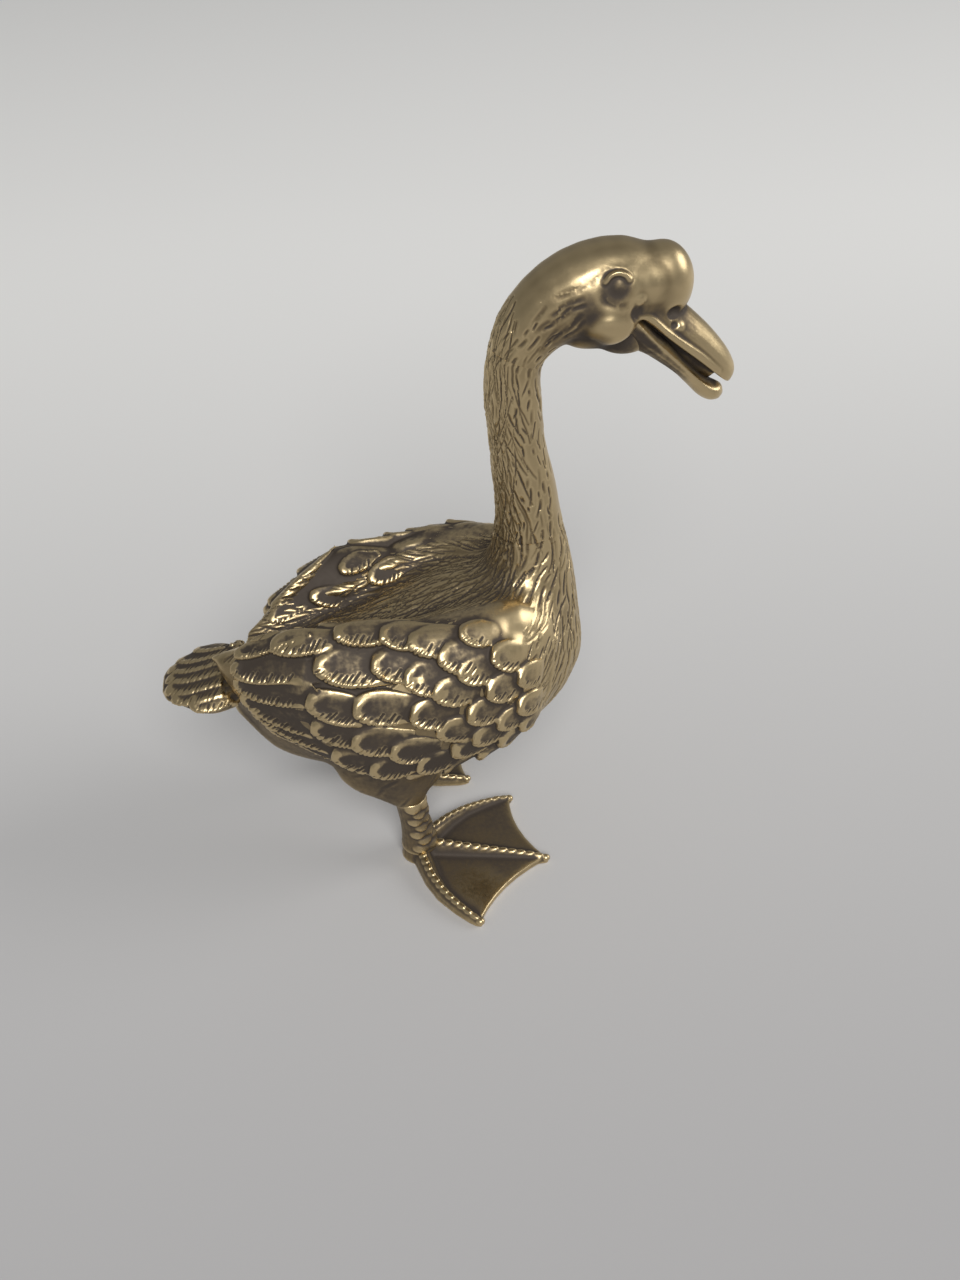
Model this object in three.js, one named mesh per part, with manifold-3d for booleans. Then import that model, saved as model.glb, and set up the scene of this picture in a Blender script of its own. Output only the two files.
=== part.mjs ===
// A small standing goose, cast in brass as eleven pieces that are keyed, brazed and chased together.
// Millimetres. +X is the way the goose faces, +Y its left side and +Z up.
import * as THREE from "three";
import { mergeVertices } from "three/addons/utils/BufferGeometryUtils.js";
import Module from "manifold-3d";

const wasm = await Module();
wasm.setup();

// Fits between the castings
const seamGap = 0.3; // brazing gap between two faces
const pegGap = 0.25; // radial gap around a locating peg

// Torso, without wings and tail
const bodyLength = 30.8; // tail root to breast
const bodyWidth = 17.6;
const bodyDepth = 17.2; // belly to the top of the back
const bellyHeight = 10.2; // above the ground
const breastX = 15.3; // front of the breast, in the frame that the pieces are drawn in

// Wings, laid over the torso
const rightWingTrim = 1.8; // right wing shorter than the torso
const leftWingTrim = 4.8; // its tip lies under the right one
const rightWingLength = bodyLength - rightWingTrim; // shoulder to wing tip
const leftWingLength = bodyLength - leftWingTrim;
const wingThickness = 1.4; // over the widest part of the torso
const wingRise = 0.6; // top of the wings over the top of the back
const wingLift = 0.8; // lower wing edge over the belly
const shoulderSetback = 3.3; // shoulder behind the breast
const quillSize = [9.5, 3.0, 0.55]; // length, width, and height over the wing
const greaterCovertSize = [6.8, 3.3, 0.55];
const middleCovertSize = [5.6, 3.2, 0.55];
const lesserCovertSize = [4.4, 3.0, 0.55];
const scaleSize = [3.4, 2.6, 0.5];
const featherRoot = 1.3; // depth in the wing
const wingPegRadius = 0.8;
const wingPegLength = 2.2; // depth in the torso
const wingPegSpacing = 8.5;
const wingPegSetback = 6.0; // front peg behind the shoulder

// Tail
const tailReach = 6.0; // beyond the torso
const tailSeat = 4.2; // let into the torso
const tailWidth = 7.6;
const tailRootDepth = 5.6;
const tailTipDepth = 1.8;
const tailRise = 8.0; // middle of the tail over the belly
const tailDroop = 0.4; // tip below the root
const tailPegRadius = 1.1;
const tailPegLength = 3.0;

// Neck, a curved tube from the breast to the back of the head
const neckSetback = 4.9; // middle of the neck's root behind the breast
const neckSink = 1.4; // neck's root below the top of the back
const neckRise = 20.6; // root to the joint under the head
const neckLean = 1.6; // how far the neck leans back over that rise
const neckRootRadius = 4.15;
const neckFootDrop = 6.0; // how far the root runs on down into the breast
const neckFootSetback = 0.8;
const neckFootFlare = 1.2; // how much wider it is there
const neckWaistRadius = 2.0;
const neckTopRadius = 2.25;
const neckPegRadius = 1.3;
const neckPegLength = 3.2;

// Head
const headLength = 11.2; // neck joint to the root of the bill
const headDepth = 8.4;
const headWidth = 6.6;
const knobLength = 4.6;
const knobHeight = 5.2;
const cheekRadius = 2.0;
const eyeRingRadius = 0.95;
const eyeRingWire = 0.28;
const eyeBulgeHeight = 0.55;
const eyeTilt = 20; // degrees that each eye looks up
const headPegRadius = 1.1;
const headPegLength = 2.6;

// Bill
const billPitch = 39.6; // degrees below level
const billLength = 9.3; // corner of the mouth to the tip
const billWidth = 4.6;
const billHeight = 2.1; // ridge over the edge of the upper bill
const billUnder = 0.2;
const mouthGap = 0.95; // between the edges of the upper and the lower bill
const lowerBillLength = 9.4;
const lowerBillWidth = 4.0;
const lowerBillDepth = 1.35;
const lowerBillPegRadius = 0.5;
const lowerBillPegLength = 1.6;

// Legs: feathered thighs on the torso, then bare shanks
const hipInset = 2.6; // each ankle inside the widest part of the torso
const hipSpacing = bodyWidth - 2 * hipInset; // from ankle to ankle
const ankleSetback = 15.7; // right ankle behind the breast
const strideLength = 4.2; // how far the left foot stands behind the right one
const hipSetback = 17.7; // hips behind the breast
const hipRise = 2.8; // hips over the belly
const thighRearRadius = 5.4;
const thighFrontRadius = 5.0;
const thighSideRadius = 2.6;
const thighInset = 0.8; // hip closer to the middle than the knee
const thighDrop = 3.4; // end of the thigh below the belly
const shankRadius = 1.3;
const shankLean = 0.55; // top of the shank behind the ankle
const shankPegRadius = 0.65;
const shankPegLength = 1.4;

// Webbed feet
const middleToeLength = 12.0; // each toe is measured from the ankle
const innerToeLength = 10.8;
const outerToeLength = 10.4;
const innerSplay = 42; // degrees from the middle toe
const outerSplay = 50;
const toeBowWidth = 1.1; // how far the side toes bow outwards
const rightTurnOut = 13.5;
const leftTurnOut = 20;
const toeRootRadius = 0.95;
const toeTipRadius = 0.5;
const toeRootHeight = 1.9;
const toeTipHeight = 0.9;
const webThickness = 0.7;
const ankleHeight = 2.3;

// Facets
const bodySides = 30;
const bodySteps = 22;
const tubeSides = 18;
const ballSides = 14;
const featherSides = 8;
const crumbVolume = 0.5; // mm3

const brass = { roughness: 0.35, metalness: 1 };
const wornBrass = new THREE.MeshStandardMaterial({ ...brass, color: 0x8f7a4a });
const darkBrass = new THREE.MeshStandardMaterial({ ...brass, color: 0x6b5a3a });

const radians = THREE.MathUtils.degToRad;
const point = (x, y, z) => new THREE.Vector3(x, y, z);

// A closed skin through rings of points, with a fan of faces over each end ring.
function skin(rings) {
  const sides = rings[0].length;
  const vertices = rings.flat();
  const faces = [];
  for (let r = 0; r + 1 < rings.length; r++) {
    for (let s = 0; s < sides; s++) {
      const a = r * sides + s;
      const b = r * sides + ((s + 1) % sides);
      faces.push(a, b, a + sides, b, b + sides, a + sides);
    }
  }
  const middle = (ring) => ring.reduce((sum, p) => sum.add(p), point(0, 0, 0)).divideScalar(sides);
  const first = vertices.push(middle(rings[0])) - 1;
  const last = vertices.push(middle(rings.at(-1))) - 1;
  const end = (rings.length - 1) * sides;
  for (let s = 0; s < sides; s++) {
    const next = (s + 1) % sides;
    faces.push(first, next, s, last, end + s, end + next);
  }
  return new THREE.BufferGeometry().setFromPoints(vertices).setIndex(faces);
}

// A smooth run through rows of numbers, by their Catmull-Rom curve.
function smooth(rows, share) {
  const curve = new THREE.CatmullRomCurve3(rows.map((row) => point(...row)), false, "centripetal");
  return curve.getPoint(share);
}

// Elliptical rings along a line of centres. Each stop holds its centre (x, y, z), half width, and half
// depths over and under the centre. Rings stand square to X (upright), square to a curve on the ground
// (flat), or square to a line in the middle plane (bent).
function sweep(stops, { steps, sides = tubeSides, grow = 0, way = "bent", from = 0, to = 1 }) {
  const centres = stops.map((stop) => stop.centre);
  const sizes = stops.map((stop) => [stop.half, stop.over, stop.under]);
  const rings = [];
  for (let i = 0; i <= steps; i++) {
    const share = from + ((to - from) * i) / steps;
    const centre = smooth(centres, share);
    const size = smooth(sizes, share);
    const after = smooth(centres, Math.min(1, share + 0.01));
    const ahead = after.sub(smooth(centres, Math.max(0, share - 0.01))).normalize();
    const left = way === "flat" ? point(-ahead.y, ahead.x, 0) : point(0, 1, 0);
    const up = way === "bent" ? ahead.clone().cross(left) : point(0, 0, 1);
    const ring = [];
    for (let s = 0; s < sides; s++) {
      const angle = (2 * Math.PI * s) / sides;
      const rise = Math.sin(angle) > 0 ? size.y : size.z;
      const spot = centre.clone();
      spot.addScaledVector(left, Math.cos(angle) * (size.x + grow));
      spot.addScaledVector(up, Math.sin(angle) * (rise + grow));
      ring.push(spot);
    }
    rings.push(ring);
  }
  return skin(rings);
}

function solid(geometry) {
  const bare = geometry.clone();
  bare.deleteAttribute("normal");
  bare.deleteAttribute("uv");
  const merged = mergeVertices(bare, 1e-4);
  const vertProperties = merged.attributes.position.array;
  const triVerts = Uint32Array.from(merged.index.array);
  return new wasm.Manifold(new wasm.Mesh({ numProp: 3, vertProperties, triVerts }));
}

function joined(...solids) {
  return solids.reduce((sum, next) => sum.add(next));
}

function cut(from, ...tools) {
  return tools.reduce((rest, tool) => rest.subtract(tool), from);
}

// Drops crumbs, and closes the pockets that overlapping forms can seal between them.
function whole(shape) {
  return joined(...shape.decompose().filter((piece) => piece.volume() > crumbVolume));
}

function geometryOf(shape) {
  const made = shape.getMesh();
  const geometry = new THREE.BufferGeometry();
  geometry.setAttribute("position", new THREE.BufferAttribute(made.vertProperties, 3));
  geometry.setIndex(new THREE.BufferAttribute(made.triVerts, 1));
  return geometry;
}

function mesh(name, shape, material) {
  const geometry = geometryOf(shape);
  geometry.computeVertexNormals();
  const piece = new THREE.Mesh(geometry, material);
  piece.name = name;
  return piece;
}

function placed(geometry, matrix) {
  return geometry.clone().applyMatrix4(matrix);
}

// The left piece of a pair, from the right one.
function flipped(shape) {
  const geometry = geometryOf(shape).scale(1, -1, 1);
  geometry.setIndex(Array.from(geometry.index.array).reverse());
  return solid(geometry);
}

// A round peg between two points, wider by grow.
function peg(start, end, radius, grow = 0) {
  const axis = end.clone().sub(start);
  const rod = new THREE.CylinderGeometry(radius + grow, radius + grow, axis.length(), ballSides);
  const turn = new THREE.Quaternion().setFromUnitVectors(point(0, 1, 0), axis.clone().normalize());
  const middle = start.clone().add(end).multiplyScalar(0.5);
  return solid(placed(rod, new THREE.Matrix4().compose(middle, turn, point(1, 1, 1))));
}

function ball(centre, rx, ry = rx, rz = rx) {
  const round = new THREE.SphereGeometry(1, ballSides, ballSides - 4);
  return solid(round.scale(rx, ry, rz).translate(...centre));
}

// Torso. Each row: place along the body from the tail root, top and bottom in the depth, and width.
const torsoRows = [
  [0.0, 0.58, 0.28, 0.28],
  [0.11, 0.63, 0.05, 0.62],
  [0.27, 0.71, -0.04, 0.85],
  [0.46, 0.84, -0.01, 0.96],
  [0.65, 0.97, 0.0, 1.0],
  [0.81, 1.0, 0.09, 0.87],
  [0.92, 0.9, 0.25, 0.62],
  [0.985, 0.72, 0.46, 0.3],
];
const tailRootX = breastX - bodyLength;

function bodyForm(grow) {
  const stops = torsoRows.map(([along, top, bottom, wide]) => ({
    centre: [tailRootX + along * bodyLength, 0, bellyHeight + (bodyDepth * (top + bottom)) / 2],
    half: (wide * bodyWidth) / 2,
    over: (bodyDepth * (top - bottom)) / 2,
    under: (bodyDepth * (top - bottom)) / 2,
  }));
  return solid(sweep(stops, { steps: bodySteps, sides: bodySides, grow, way: "upright" }));
}

// Spine: the neck from its root in the breast, then the skull, which bends forward to the root of the bill.
// Each row: place ahead and up, half depth over and under the line, and half width.
const neckRootX = breastX - neckSetback;
const neckRootZ = bellyHeight + bodyDepth - neckSink;
const neckTopX = neckRootX - neckLean;
const neckTopZ = neckRootZ + neckRise;
const neckRows = [
  [neckRootX - neckFootSetback, neckRootZ - neckFootDrop, neckRootRadius + neckFootFlare],
  [neckRootX, neckRootZ, neckRootRadius],
  [neckRootX - 0.25 * neckLean, neckRootZ + 0.35 * neckRise, 0.66 * neckRootRadius],
  [neckRootX - 0.9 * neckLean, neckRootZ + 0.68 * neckRise, neckWaistRadius],
  [neckTopX, neckTopZ, neckTopRadius],
].map(([x, z, radius]) => [x, z, radius, radius, radius]);
const skullRows = [
  [0.17, 0.35, 0.335, 0.335, 0.4],
  [0.42, 0.53, 0.415, 0.43, 0.48],
  [0.66, 0.53, 0.475, 0.53, 0.5],
  [0.84, 0.42, 0.44, 0.48, 0.46],
  [0.98, 0.21, 0.3, 0.3, 0.34],
].map(([along, rise, over, under, wide]) => [
  neckTopX + along * headLength,
  neckTopZ + rise * headDepth,
  over * headDepth,
  under * headDepth,
  wide * headWidth,
]);
const spine = [...neckRows, ...skullRows].map(([x, z, over, under, half]) => ({
  centre: [x, 0, z],
  half,
  over,
  under,
}));
const spineStop = (index) => index / (spine.length - 1);
const neckSeam = spineStop(1.75);
const headSeam = spineStop(4);

function spineAt(share) {
  return smooth(spine.map((stop) => stop.centre), share);
}

function spineWay(share) {
  return spineAt(share + 0.002).sub(spineAt(share - 0.002)).normalize();
}

// The place on the spine one brazing gap beyond a seam.
function beyond(share) {
  return share + (0.01 * seamGap) / spineAt(share).distanceTo(spineAt(share + 0.01));
}

function neckStump(grow) {
  return solid(sweep(spine, { steps: 8, grow, to: neckSeam }));
}

// Thighs
const rightAnkleX = breastX - ankleSetback;
const ankles = {
  right: point(rightAnkleX, -hipSpacing / 2, 0),
  left: point(rightAnkleX - strideLength, hipSpacing / 2, 0),
};
const shankTopHeight = bellyHeight - thighDrop;

function kneeOf(ankle) {
  return point(ankle.x - shankLean, ankle.y, shankTopHeight);
}

function hipOf(ankle) {
  const inwards = 1 - (2 * thighInset) / hipSpacing;
  return point(breastX - hipSetback, inwards * ankle.y, bellyHeight + hipRise);
}

// A drumstick from the knee up to the hip, where it closes inside the torso. Each row: place from the knee
// to the hip ahead and up, half width to the sides, and reach to the rear and to the front.
const thighRows = [
  [0.0, 0.0, 0.0, 0.0, 0.0],
  [0.0, 0.06, 0.05, 0.05, 0.02],
  [0.35, 0.4, 0.6, 0.5, 0.35],
  [0.8, 0.72, 1.0, 0.95, 0.95],
  [1.0, 1.0, 1.0, 1.0, 1.0],
  [1.0, 1.3, 0.6, 0.6, 0.6],
  [1.0, 1.42, 0.0, 0.0, 0.0],
];

function thigh(ankle, grow) {
  const knee = kneeOf(ankle);
  const hip = hipOf(ankle);
  const { lerp } = THREE.MathUtils;
  const stops = thighRows.map(([ahead, up, side, rear, front]) => ({
    centre: [lerp(knee.x, hip.x, ahead), lerp(knee.y, hip.y, ahead), lerp(knee.z, hip.z, up)],
    half: lerp(shankRadius, thighSideRadius, side),
    over: lerp(shankRadius, thighRearRadius, rear),
    under: lerp(shankRadius, thighFrontRadius, front),
  }));
  return solid(sweep(stops, { steps: 12, grow }));
}

function torsoForm(grow) {
  return joined(bodyForm(grow), neckStump(grow), thigh(ankles.right, grow), thigh(ankles.left, grow));
}

const shoulderX = breastX - shoulderSetback;
const wingSpan = bodyWidth + 2 * wingThickness;
const wingLow = bellyHeight + wingLift;
const wingDepth = bodyDepth + wingRise - wingLift;

// Wings, drawn as the right one. Each row of the outer form: place from the tip, top, bottom, half width,
// and the distance of its middle line from the goose's own.
const wingRows = [
  [0.0, 0.62, 0.45, 0.09, 0.16],
  [0.1, 0.71, 0.3, 0.22, 0.28],
  [0.28, 0.78, 0.14, 0.34, 0.44],
  [0.45, 0.86, 0.07, 0.4, 0.55],
  [0.66, 0.95, 0.06, 0.42, 0.58],
  [0.86, 1.0, 0.15, 0.38, 0.54],
  [1.0, 0.86, 0.34, 0.2, 0.44],
];

function wingSweep(length, grow) {
  const stops = wingRows.map(([along, top, bottom, wide, aside]) => ({
    centre: [
      shoulderX - (1 - along) * length,
      (-aside * wingSpan) / 2,
      wingLow + (wingDepth * (top + bottom)) / 2,
    ],
    half: (wide * wingSpan) / 2,
    over: (wingDepth * (top - bottom)) / 2,
    under: (wingDepth * (top - bottom)) / 2,
  }));
  return sweep(stops, { steps: bodySteps, sides: bodySides, grow, way: "upright" });
}

// Feathers of a wing, in rows from its tip to the shoulder. Each tip is a share of the wing's length and the
// degrees that it lies above the level of the wing's middle line.
const featherAxisHeight = wingLow + 0.44 * wingDepth;
const featherRows = [
  {
    size: quillSize,
    tips: [[0.05, 52], [0.06, 36], [0.09, 18], [0.14, 0], [0.2, -20]],
  },
  {
    size: greaterCovertSize,
    tips: [[0.19, 53], [0.3, 40], [0.275, 24], [0.28, 7], [0.33, -13], [0.4, -31]],
  },
  {
    size: middleCovertSize,
    tips: [[0.36, 53], [0.455, 38], [0.395, 19], [0.385, 0], [0.43, -18], [0.53, -34]],
  },
  {
    size: lesserCovertSize,
    tips: [[0.485, 50], [0.54, 31], [0.55, 15], [0.49, -6], [0.56, -19], [0.64, -33]],
  },
  {
    size: lesserCovertSize,
    tips: [[0.56, 45], [0.635, 39], [0.615, 24], [0.62, 4], [0.66, -12], [0.74, -26]],
  },
  {
    size: scaleSize,
    tips: [[0.7, 47], [0.685, 32], [0.705, 11], [0.72, -5], [0.76, 22], [0.79, 2], [0.8, -14]],
  },
  {
    size: scaleSize,
    tips: [[0.78, 38], [0.85, 26], [0.85, 10], [0.86, -6]],
  },
];

function wingFeather(hull, [x, rise], [length, width, height], grow) {
  const out = point(0, -Math.cos(radians(rise)), Math.sin(radians(rise)));
  const start = point(x, 0, featherAxisHeight).addScaledVector(out, 2 * wingSpan);
  const [hit] = new THREE.Raycaster(start, out.clone().negate()).intersectObject(hull);
  const up = hit.face.normal.clone().multiplyScalar(Math.sign(hit.face.normal.dot(out)));
  const along = point(-1, 0, 0).addScaledVector(up, up.x + (0.6 * height) / length).normalize();
  const across = new THREE.Vector3().crossVectors(up, along).normalize();
  const over = new THREE.Vector3().crossVectors(along, across);
  const middle = hit.point.clone().addScaledVector(along, -length / 2);
  const frame = new THREE.Matrix4().makeBasis(along, across, over).setPosition(middle);
  const lens = new THREE.SphereGeometry(1, featherSides, featherSides - 2);
  const spots = lens.attributes.position;
  for (let i = 0; i < spots.count; i += 1) {
    const z = spots.getZ(i);
    spots.setZ(i, z * (z > 0 ? height + grow : featherRoot + grow));
  }
  return solid(placed(lens.scale(length / 2 + grow, width / 2 + grow, 1), frame));
}

function wingFeathers(length, grow) {
  const hull = new THREE.Mesh(wingSweep(length, 0), new THREE.MeshBasicMaterial({ side: THREE.DoubleSide }));
  const tipX = (share) => shoulderX - (1 - share) * length;
  return featherRows.flatMap(({ size, tips }) => {
    return tips.map(([share, rise]) => wingFeather(hull, [tipX(share), rise], size, grow));
  });
}

// The wing seen from the side, from the shoulder down its leading edge and along the lower edge to the tip.
function wingSide(length, grow) {
  const x = (share) => shoulderX - (1 - share) * length;
  const z = (share) => wingLow + share * wingDepth;
  const outline = new THREE.Shape();
  outline.moveTo(x(0.93), z(1.1));
  outline.bezierCurveTo(x(1.03) + grow, z(0.9), x(1.02) + grow, z(0.35), x(0.86), z(0.18) - grow);
  outline.bezierCurveTo(x(0.7), z(0.05) - grow, x(0.5), z(0.03) - grow, x(0.33), z(0.12) - grow);
  outline.quadraticCurveTo(x(0.1), z(0.3) - grow, x(0.0) - grow, z(0.6));
  outline.lineTo(x(0.0) - grow, z(1.1));
  const deep = 1.2 * wingSpan;
  const slab = new THREE.ExtrudeGeometry(outline, { depth: deep, bevelEnabled: false, curveSegments: 8 });
  return solid(slab.rotateX(Math.PI / 2).translate(0, deep / 2, 0));
}

function wingForm(length, grow) {
  const feathered = joined(solid(wingSweep(length, grow)), ...wingFeathers(length, grow));
  return feathered.intersect(wingSide(length, grow));
}

// Two pegs on the inner face of the right wing, halfway up it.
const wingPegs = [0, wingPegSpacing].map((back) => {
  const spot = point(shoulderX - wingPegSetback - back, -bodyWidth / 2, wingLow + wingDepth / 2);
  const from = spot.clone().setY(spot.y - wingThickness / 3);
  const to = spot.clone().setY(spot.y + wingPegLength);
  return { from, to };
});

function wingPegSolids(grow) {
  return wingPegs.map(({ from, to }) => peg(from, to, wingPegRadius, grow));
}

// Tail, a flat fan with a round end. Each row: place from the front, width and thickness.
const tailRows = [
  [0.0, 0.5, 0.95],
  [0.14, 0.8, 0.96],
  [0.4, 1.0, 0.86],
  [0.75, 0.92, 0.66],
  [0.95, 0.62, 0.35],
  [1.0, 0.3, 0.14],
];
const tailLength = tailSeat + tailReach;
const tailHeight = bellyHeight + tailRise;

function tailForm() {
  const stops = tailRows.map(([along, wide, thick]) => {
    const half = (thick * THREE.MathUtils.lerp(tailRootDepth, tailTipDepth, along)) / 2;
    return {
      centre: [tailRootX + tailSeat - along * tailLength, 0, tailHeight - along * tailDroop],
      half: (wide * tailWidth) / 2,
      over: half,
      under: half,
    };
  });
  return solid(sweep(stops.reverse(), { steps: 14, way: "upright" }));
}

const tailPeg = {
  from: point(tailRootX - tailReach / 5, 0, tailHeight),
  to: point(tailRootX + tailPegLength, 0, tailHeight),
};

// Head. The frame of a bill half has its origin at the corners of the mouth, and its length runs along +X.
const mouthCorner = point(neckTopX + 0.85 * headLength, 0, neckTopZ + 0.36 * headDepth);
const eyeSpot = point(neckTopX + 0.62 * headLength, -0.46 * headWidth, neckTopZ + 0.715 * headDepth);
const cheekSpot = point(neckTopX + 0.625 * headLength, -0.23 * headWidth, neckTopZ + 0.34 * headDepth);
const knobSpot = point(neckTopX + 0.95 * headLength, 0, neckTopZ + 0.65 * headDepth);

function billFrame(drop) {
  const turn = new THREE.Matrix4().makeRotationY(radians(billPitch));
  const root = point(0, 0, -drop).applyMatrix4(turn).add(mouthCorner);
  return turn.setPosition(root);
}

// Each row of a bill half: place from the corners of the mouth, width, and depths over and under.
function billHalf(rows, { length, width, over, under, start = 0 }, frame) {
  const stops = rows.map(([along, wide, high, low]) => ({
    centre: [start + along * length, 0, 0],
    half: (wide * width) / 2,
    over: high * over,
    under: low * under,
  }));
  return solid(placed(sweep(stops, { steps: 12, way: "upright" }), frame));
}

const upperBillRows = [
  [-0.05, 0.8, 0.7, 1.0],
  [0.2, 1.0, 1.0, 1.0],
  [0.55, 0.93, 0.86, 1.0],
  [0.83, 0.74, 0.6, 1.0],
  [0.96, 0.5, 0.34, 1.1],
  [1.0, 0.24, 0.14, 0.7],
];
const lowerBillRows = [
  [0.02, 0.9, 1.0, 0.9],
  [0.3, 1.0, 1.0, 1.0],
  [0.7, 0.8, 1.0, 0.95],
  [0.94, 0.56, 0.8, 0.8],
  [1.0, 0.26, 0.3, 0.4],
];
const lowerBillFrame = billFrame(mouthGap + 0.3 * lowerBillDepth);

function eye(spot) {
  const side = Math.sign(spot.y);
  const ring = new THREE.TorusGeometry(eyeRingRadius, eyeRingWire, 8, ballSides);
  const bulge = new THREE.SphereGeometry(eyeRingRadius, ballSides, ballSides - 4);
  bulge.scale(1, 1, eyeBulgeHeight / eyeRingRadius);
  const turn = new THREE.Matrix4().makeRotationX(Math.PI / 2 + side * radians(eyeTilt)).setPosition(spot);
  return joined(solid(placed(ring, turn)), solid(placed(bulge, turn)));
}

function withMirror(spot) {
  return [spot, point(spot.x, -spot.y, spot.z)];
}

function headForm() {
  const bill = { length: billLength, width: billWidth, over: billHeight, under: billUnder };
  return joined(
    solid(sweep(spine, { steps: 14, from: beyond(headSeam) })),
    ball(knobSpot, knobLength / 2, knobLength / 2, knobHeight / 2),
    billHalf(upperBillRows, bill, billFrame(0)),
    ...withMirror(cheekSpot).map((spot) => ball(spot, cheekRadius)),
    ...withMirror(eyeSpot).map(eye),
  );
}

function lowerBillForm(grow) {
  const size = {
    length: lowerBillLength + 2 * grow,
    start: -grow,
    width: lowerBillWidth + 2 * grow,
    over: 0.3 * lowerBillDepth + grow,
    under: 0.7 * lowerBillDepth + grow,
  };
  return billHalf(lowerBillRows, size, lowerBillFrame);
}

// Feet. The ankle is the origin and the middle toe lies along +X; the inner toe of the right foot is on +Y.
const rightToes = [
  { length: innerToeLength, angle: innerSplay, bow: toeBowWidth },
  { length: middleToeLength, angle: 0, bow: 0 },
  { length: outerToeLength, angle: -outerSplay, bow: -toeBowWidth },
];

// A place some way along a toe, on its bowed middle line.
function onToe({ length, angle, bow }, share) {
  const spot = new THREE.Vector2(share * length, 4 * bow * share * (1 - share));
  return spot.rotateAround(new THREE.Vector2(), radians(angle));
}

function web() {
  const [innerTip, middleTip, outerTip] = rightToes.map((toe) => onToe(toe, 0.98));
  const [inner, , outer] = rightToes;
  const hollow = (a, b) => a.clone().add(b).multiplyScalar(0.42);
  const outline = new THREE.Shape();
  outline.moveTo(-toeRootRadius, 0);
  outline.splineThru([0.3, 0.6, 0.98].map((share) => onToe(outer, share)));
  outline.quadraticCurveTo(...hollow(outerTip, middleTip), ...middleTip);
  outline.quadraticCurveTo(...hollow(middleTip, innerTip), ...innerTip);
  outline.splineThru([0.6, 0.3].map((share) => onToe(inner, share)));
  const plate = { depth: webThickness, bevelEnabled: false, curveSegments: 6 };
  return solid(new THREE.ExtrudeGeometry(outline, plate));
}

function toeForm(toe) {
  const stops = [
    [0.0, toeRootRadius, toeRootHeight],
    [0.5, 0.5 * (toeRootRadius + toeTipRadius), 0.72 * toeRootHeight],
    [0.93, toeTipRadius, toeTipHeight],
    [1.0, 0.5 * toeTipRadius, 0.5 * toeTipHeight],
  ].map(([share, half, over]) => ({ centre: [...onToe(toe, share), 0], half, over, under: 0 }));
  return solid(sweep(stops, { steps: 8, sides: 12, way: "flat" }));
}

function ankleBoss() {
  const boss = new THREE.CylinderGeometry(shankRadius, 1.25 * shankRadius, ankleHeight, tubeSides);
  return solid(boss.rotateX(Math.PI / 2).translate(0, 0, ankleHeight / 2));
}

// The foot of one side, turned out and set under its ankle.
function foot(ankle, turnOut, turnOver) {
  const turn = new THREE.Matrix4().makeRotationZ(radians(turnOut));
  const whole = joined(web(), ...rightToes.map(toeForm), ankleBoss());
  const sided = turnOver ? flipped(whole) : whole;
  return cut(solid(placed(geometryOf(sided), turn.setPosition(ankle))), shankPeg(ankle, seamGap, pegGap));
}

// The shank leans back from the ankle to the knee; its pin runs on into the foot and the thigh.
function shankPeg(ankle, longer, grow) {
  const knee = kneeOf(ankle);
  const base = point(ankle.x, ankle.y, ankleHeight);
  const aim = knee.clone().sub(base).normalize();
  const low = base.clone().addScaledVector(aim, -shankPegLength - longer);
  const high = knee.clone().addScaledVector(aim, shankPegLength + longer);
  return peg(low, high, shankPegRadius, grow);
}

function shank(ankle) {
  const knee = kneeOf(ankle);
  const rings = [ankleHeight + seamGap, shankTopHeight - seamGap].map((height) => {
    const share = (height - ankleHeight) / (shankTopHeight - ankleHeight);
    const x = THREE.MathUtils.lerp(ankle.x, knee.x, share);
    const ring = [];
    for (let s = 0; s < tubeSides; s++) {
      const angle = (2 * Math.PI * s) / tubeSides;
      ring.push(point(x + shankRadius * Math.cos(angle), ankle.y + shankRadius * Math.sin(angle), height));
    }
    return ring;
  });
  return joined(solid(skin(rings)), shankPeg(ankle, 0, 0));
}

// Assembly
const torsoSeat = torsoForm(seamGap);
const rightWingSeat = wingForm(rightWingLength, seamGap);
const leftWingSeat = flipped(wingForm(leftWingLength, seamGap));

const neckEnd = spineAt(neckSeam);
const neckAim = spineWay(neckSeam);
const neckPeg = {
  from: neckEnd.clone().addScaledVector(neckAim, 2 * seamGap),
  to: neckEnd.clone().addScaledVector(neckAim, -neckPegLength),
};
const headEnd = spineAt(headSeam);
const headAim = spineWay(headSeam);
const headPeg = {
  from: headEnd.clone().addScaledVector(headAim, -headPegLength / 2),
  to: headEnd.clone().addScaledVector(headAim, headPegLength),
};
const lowerBillPeg = {
  from: point(0.1 * lowerBillLength, 0, 0).applyMatrix4(lowerBillFrame),
  to: point(-lowerBillPegLength, 0, 0).applyMatrix4(lowerBillFrame),
};

const wingPegsOut = wingPegSolids(0);
const wingSockets = joined(...wingPegSolids(pegGap));
const rightWing = whole(joined(cut(wingForm(rightWingLength, 0), torsoSeat), ...wingPegsOut));
const leftWingSide = cut(flipped(wingForm(leftWingLength, 0)), torsoSeat, rightWingSeat);
const leftWing = whole(joined(leftWingSide, flipped(joined(...wingPegsOut))));

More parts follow.
